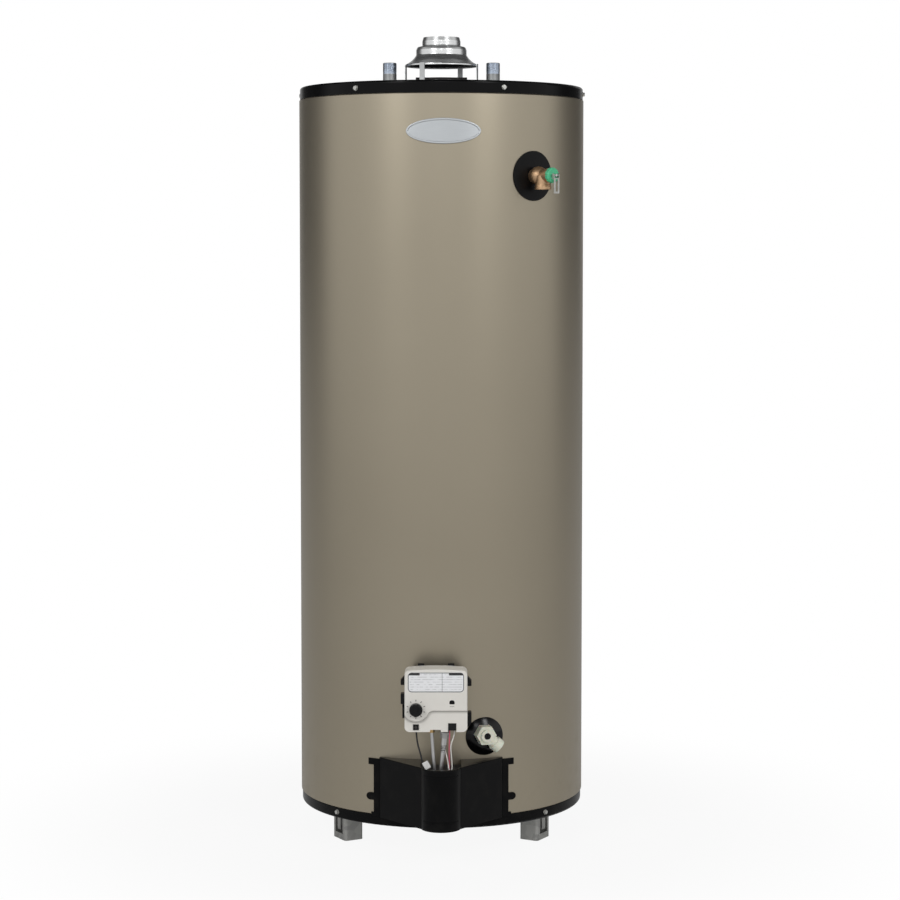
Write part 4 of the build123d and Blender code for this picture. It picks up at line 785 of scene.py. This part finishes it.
def lead_vinyl(name, dark, light):
    """Soft vinyl with a little grime."""
    finish = Finish(name)
    speckle = finish.noise(700.0, 2.0)
    grime = finish.noise(90.0, 3.0)
    return finish.surface(
        base_color=finish.mix(grime * 0.7 + speckle * 0.3, dark, light),
        roughness=0.36 + grime * 0.14,
        normal=finish.bump(speckle, 0.00001),
    )


def lead(name, node, route, radius, finish):
    """A lead along a route of points in millimetres, in place of its plain solid."""
    curve = bpy.data.curves.new(name, "CURVE")
    curve.dimensions = "3D"
    curve.bevel_depth = radius
    curve.bevel_resolution = 4
    curve.resolution_u = 10
    curve.use_fill_caps = True
    spline = curve.splines.new("NURBS")
    spline.points.add(len(route) - 1)
    for point, place in zip(spline.points, route):
        point.co = (*[value / 1000 for value in place], 1.0)
    spline.order_u = 3
    spline.use_endpoint_u = True
    curve.materials.append(finish)
    piece = bpy.data.objects.new(name, curve)
    bpy.context.scene.collection.objects.link(piece)
    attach(piece, "heater")
    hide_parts(node)
    return piece


red_route = [(16.2, -360, 265.8), (16.2, -360, 250), (15.0, -350, 222), (16.4, -338, 186), (12, -328, 152),
             (12, -306, 140), (12, -108.4, 140)]
white_route = [(25.2, -360, 265.8), (25.2, -360, 254), (17.6, -360, 237), (19.6, -356, 214),
               (20.8, -353, 199), (20.6, -352, 187), (14.6, -351, 187), (13.8, -348, 200), (9.3, -331, 215),
               (5.0, -323, 231), (3.0, -320, 252), (3.0, -320, 268.8)]
spark_route = [(-46, -335, 268.8), (-46, -335, 242), (-37, -338, 212), (-30.5, -338, 182), (-27, -326, 150),
               (-27, -300, 140), (-27, -107.2, 140)]
red_lead = lead("red_lead", "thermopile_lead_red", red_route, lead_radius,
                lead_vinyl("red vinyl", shade(208, 76, 100), shade(230, 116, 138)))
white_lead = lead("white_lead", "thermopile_lead_white", white_route, lead_radius,
                  lead_vinyl("white vinyl", shade(214, 212, 206), shade(232, 230, 226)))
spark_lead = lead("spark_lead", "igniter_lead", spark_route, spark_lead_radius,
                  lead_vinyl("black vinyl", shade(18, 18, 19), shade(34, 34, 35)))

# %% [markdown]
# Geometry Nodes
#
# A thread is one ridge that winds up a pipe, and a scale is one mark repeated round a dial. Such shapes suit
# a small Geometry Nodes tree with named inputs for its sizes. The class below opens a tree, ends it with real
# faces and a material, and keeps every result as a plain mesh.


# %% Shape builder
class Shape(Graph):
    """A geometry tree with named inputs, which ends as a plain mesh."""

    def __init__(self, name, **inputs):
        super().__init__(bpy.data.node_groups.new(name, "GeometryNodeTree"))
        for label, kind in inputs.items():
            self.tree.interface.new_socket(label, in_out="INPUT", socket_type="NodeSocket" + kind)
        self.tree.interface.new_socket("Geometry", in_out="OUTPUT", socket_type="NodeSocketGeometry")
        source = self.tree.nodes.new("NodeGroupInput")
        self.inputs = {label: Wire(self.tree, source.outputs[label]) for label in inputs}

    def vector(self, x, y, z):
        return self.node("ShaderNodeCombineXYZ", links={"X": x, "Y": y, "Z": z})

    def close(self, geometry):
        """Ends the tree as real faces that wear the input named Material."""
        real = self.node("GeometryNodeRealizeInstances", links={"Geometry": geometry})
        links = {"Geometry": real, "Material": self.inputs["Material"]}
        self.node("NodeGroupOutput", links={"Geometry": self.node("GeometryNodeSetMaterial", links=links)})

    def build(self, name, **values):
        """A plain mesh piece of the tree, with these values on its inputs."""
        piece = bpy.data.objects.new(name, bpy.data.meshes.new(name))
        bpy.context.scene.collection.objects.link(piece)
        modifier = piece.modifiers.new("shape", "NODES")
        modifier.node_group = self.tree
        for item in self.tree.interface.items_tree:
            if item.in_out == "INPUT":
                modifier[item.identifier] = values[item.name]
        seen_by = bpy.context.evaluated_depsgraph_get()
        mesh = bpy.data.meshes.new_from_object(piece.evaluated_get(seen_by))
        piece.modifiers.clear()
        piece.data = mesh
        print(name, "has", len(mesh.polygons), "faces")
        return piece


# %% [markdown]
# Threads
#
# The water pipes, the relief valve, the gas control and the drain valve have pipe or hose threads. A thread
# could be cut into the solid, but that would make a heavy model for a detail this fine. Here a spiral with a
# small square profile is laid on the pipe, or in the hole, and one tree serves all five. Their radius, length
# and place come from the mounts of the record.

# %% Thread tree
turn_steps = 36
ridge_sides = 4
thread = Shape("thread", Material="Material", Radius="Float", Pitch="Float", Turns="Float", Ridge="Float",
               Start="Vector", Turn="Rotation")
winding = thread.node("GeometryNodeCurveSpiral", links={
    "Resolution": turn_steps,
    "Rotations": thread.inputs["Turns"],
    "Start Radius": thread.inputs["Radius"],
    "End Radius": thread.inputs["Radius"],
    "Height": thread.inputs["Turns"] * thread.inputs["Pitch"],
})
crest = thread.node("GeometryNodeCurvePrimitiveCircle", links={
    "Resolution": ridge_sides, "Radius": thread.inputs["Ridge"]
})
ridge = thread.node("GeometryNodeCurveToMesh", links={
    "Curve": winding, "Profile Curve": crest, "Fill Caps": True
})
thread.close(thread.node("GeometryNodeTransform", links={
    "Geometry": ridge,
    "Translation": thread.inputs["Start"],
    "Rotation": thread.inputs["Turn"],
}))
print("thread tree with", len(thread.tree.nodes), "nodes")

# %% The five threads
mounts = {mount["name"]: mount for mount in frame["record"]["mounts"]}
thread_ridge = 0.0005
ridge_sink = 0.4
pipe_pitch = 0.001814
hose_pitch = 0.00221


def mount_thread(mount_name, node, pitch):
    """A thread on the pipe or in the hole that a mount of the record gives."""
    mount = mounts[mount_name]
    end, axis = Vector(mount["pos_m"]), Vector(mount["axis"])
    length = mount["dims"]["length_mm"] / 1000
    sunk = -ridge_sink if mount["kind"] == "pin" else ridge_sink
    piece = thread.build(
        mount_name + "_thread",
        Material=solids[node].data.materials[0],
        Radius=mount["dims"]["r_mm"] / 1000 + sunk * thread_ridge,
        Pitch=pitch,
        Turns=(length - pitch) / pitch,
        Ridge=thread_ridge,
        Start=end - axis * (length - pitch / 2),
        Turn=axis.to_track_quat("Z", "Y").to_euler(),
    )
    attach(piece, "heater")


mount_thread("hot_outlet", "hot_nipple", pipe_pitch)
mount_thread("cold_inlet", "cold_nipple", pipe_pitch)
mount_thread("relief_outlet", "relief_valve_body", pipe_pitch)
mount_thread("gas_inlet", "gas_control_body", pipe_pitch)
mount_thread("drain_hose_outlet", "drain_valve_body", hose_pitch)

# %% [markdown]
# Scale round the dial
#
# The dial of the gas control has plain ticks round it. They could be a mask on the cover, but as thin marks
# of their own they are part of the exported mesh too. The tree puts its points at the middle of the dial and
# gives each a mark on an arm, turned by the point's number.

# %% Scale tree
scale = Shape("scale", Material="Material", Centre="Vector", Radius="Float", Count="Int", Mark="Vector")
number = scale.node("GeometryNodeInputIndex")
angle = scale.vector(0.0, number * math.tau / scale.inputs["Count"], 0.0)
mark = scale.node("GeometryNodeMeshCube", links={"Size": scale.inputs["Mark"]})
arm = scale.node("GeometryNodeTransform", links={
    "Geometry": mark, "Translation": scale.vector(0.0, 0.0, scale.inputs["Radius"])
})
hub = scale.node("GeometryNodeMeshLine", links={
    "Count": scale.inputs["Count"], "Start Location": scale.inputs["Centre"], "Offset": (0, 0, 0)
})
scale.close(scale.node("GeometryNodeInstanceOnPoints", links={
    "Points": hub,
    "Instance": arm,
    "Rotation": scale.node("FunctionNodeEulerToRotation", links={"Euler": angle}),
}))
print("scale tree with", len(scale.tree.nodes), "nodes")

# %% Ten ticks
face_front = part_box("gas_control_cover")[0].y
dial_scale = scale.build(
    "dial_scale",
    Material=moulded("printed ink", shade(62, 57, 52), shade(78, 72, 66), roughness=0.5),
    Centre=(dial_middle.x, face_front, dial_middle.z),
    Radius=0.0162,
    Count=10,
    Mark=(0.0013, 0.0002, 0.003),
)
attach(dial_scale, "heater")

# %% [markdown]
# Washer of the drain valve
#
# Behind the drain valve a flat black washer closes the dished plate. Its hole sits off its middle, because
# the pipe does. It could be cut from a disc, but two circles with as many points each, joined front and back,
# give a ring with an uneven rim without any cutting.

# %% Drain washer
washer_points = 72
washer_turn = math.radians(16)
washer_front, washer_back = 0.2842, 0.2832
rim = {"radius": 0.024, "right": 0.005, "level": 0.234}
hole = {"radius": 0.0138, "right": 0.0, "level": 0.241}
washer_loops = [(rim, washer_front), (hole, washer_front), (hole, washer_back), (rim, washer_back)]

spots = []
for circle, depth in washer_loops:
    for point in range(washer_points):
        around = math.tau * point / washer_points
        x = circle["right"] + circle["radius"] * math.cos(around)
        z = circle["level"] + circle["radius"] * math.sin(around)
        spots.append((x * math.cos(washer_turn) + depth * math.sin(washer_turn),
                      x * math.sin(washer_turn) - depth * math.cos(washer_turn), z))
sides = []
for loop in range(len(washer_loops)):
    near, far = loop * washer_points, (loop + 1) % len(washer_loops) * washer_points
    for point in range(washer_points):
        after = (point + 1) % washer_points
        sides.append((near + point, near + after, far + after, far + point))
washer_mesh = bpy.data.meshes.new("drain_washer")
washer_mesh.from_pydata(spots, [], sides)
washer_mesh.materials.append(dish_enamel)
drain_washer = bpy.data.objects.new("drain_washer", washer_mesh)
bpy.context.scene.collection.objects.link(drain_washer)
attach(drain_washer, "heater")
print("drain washer with", len(sides), "faces")
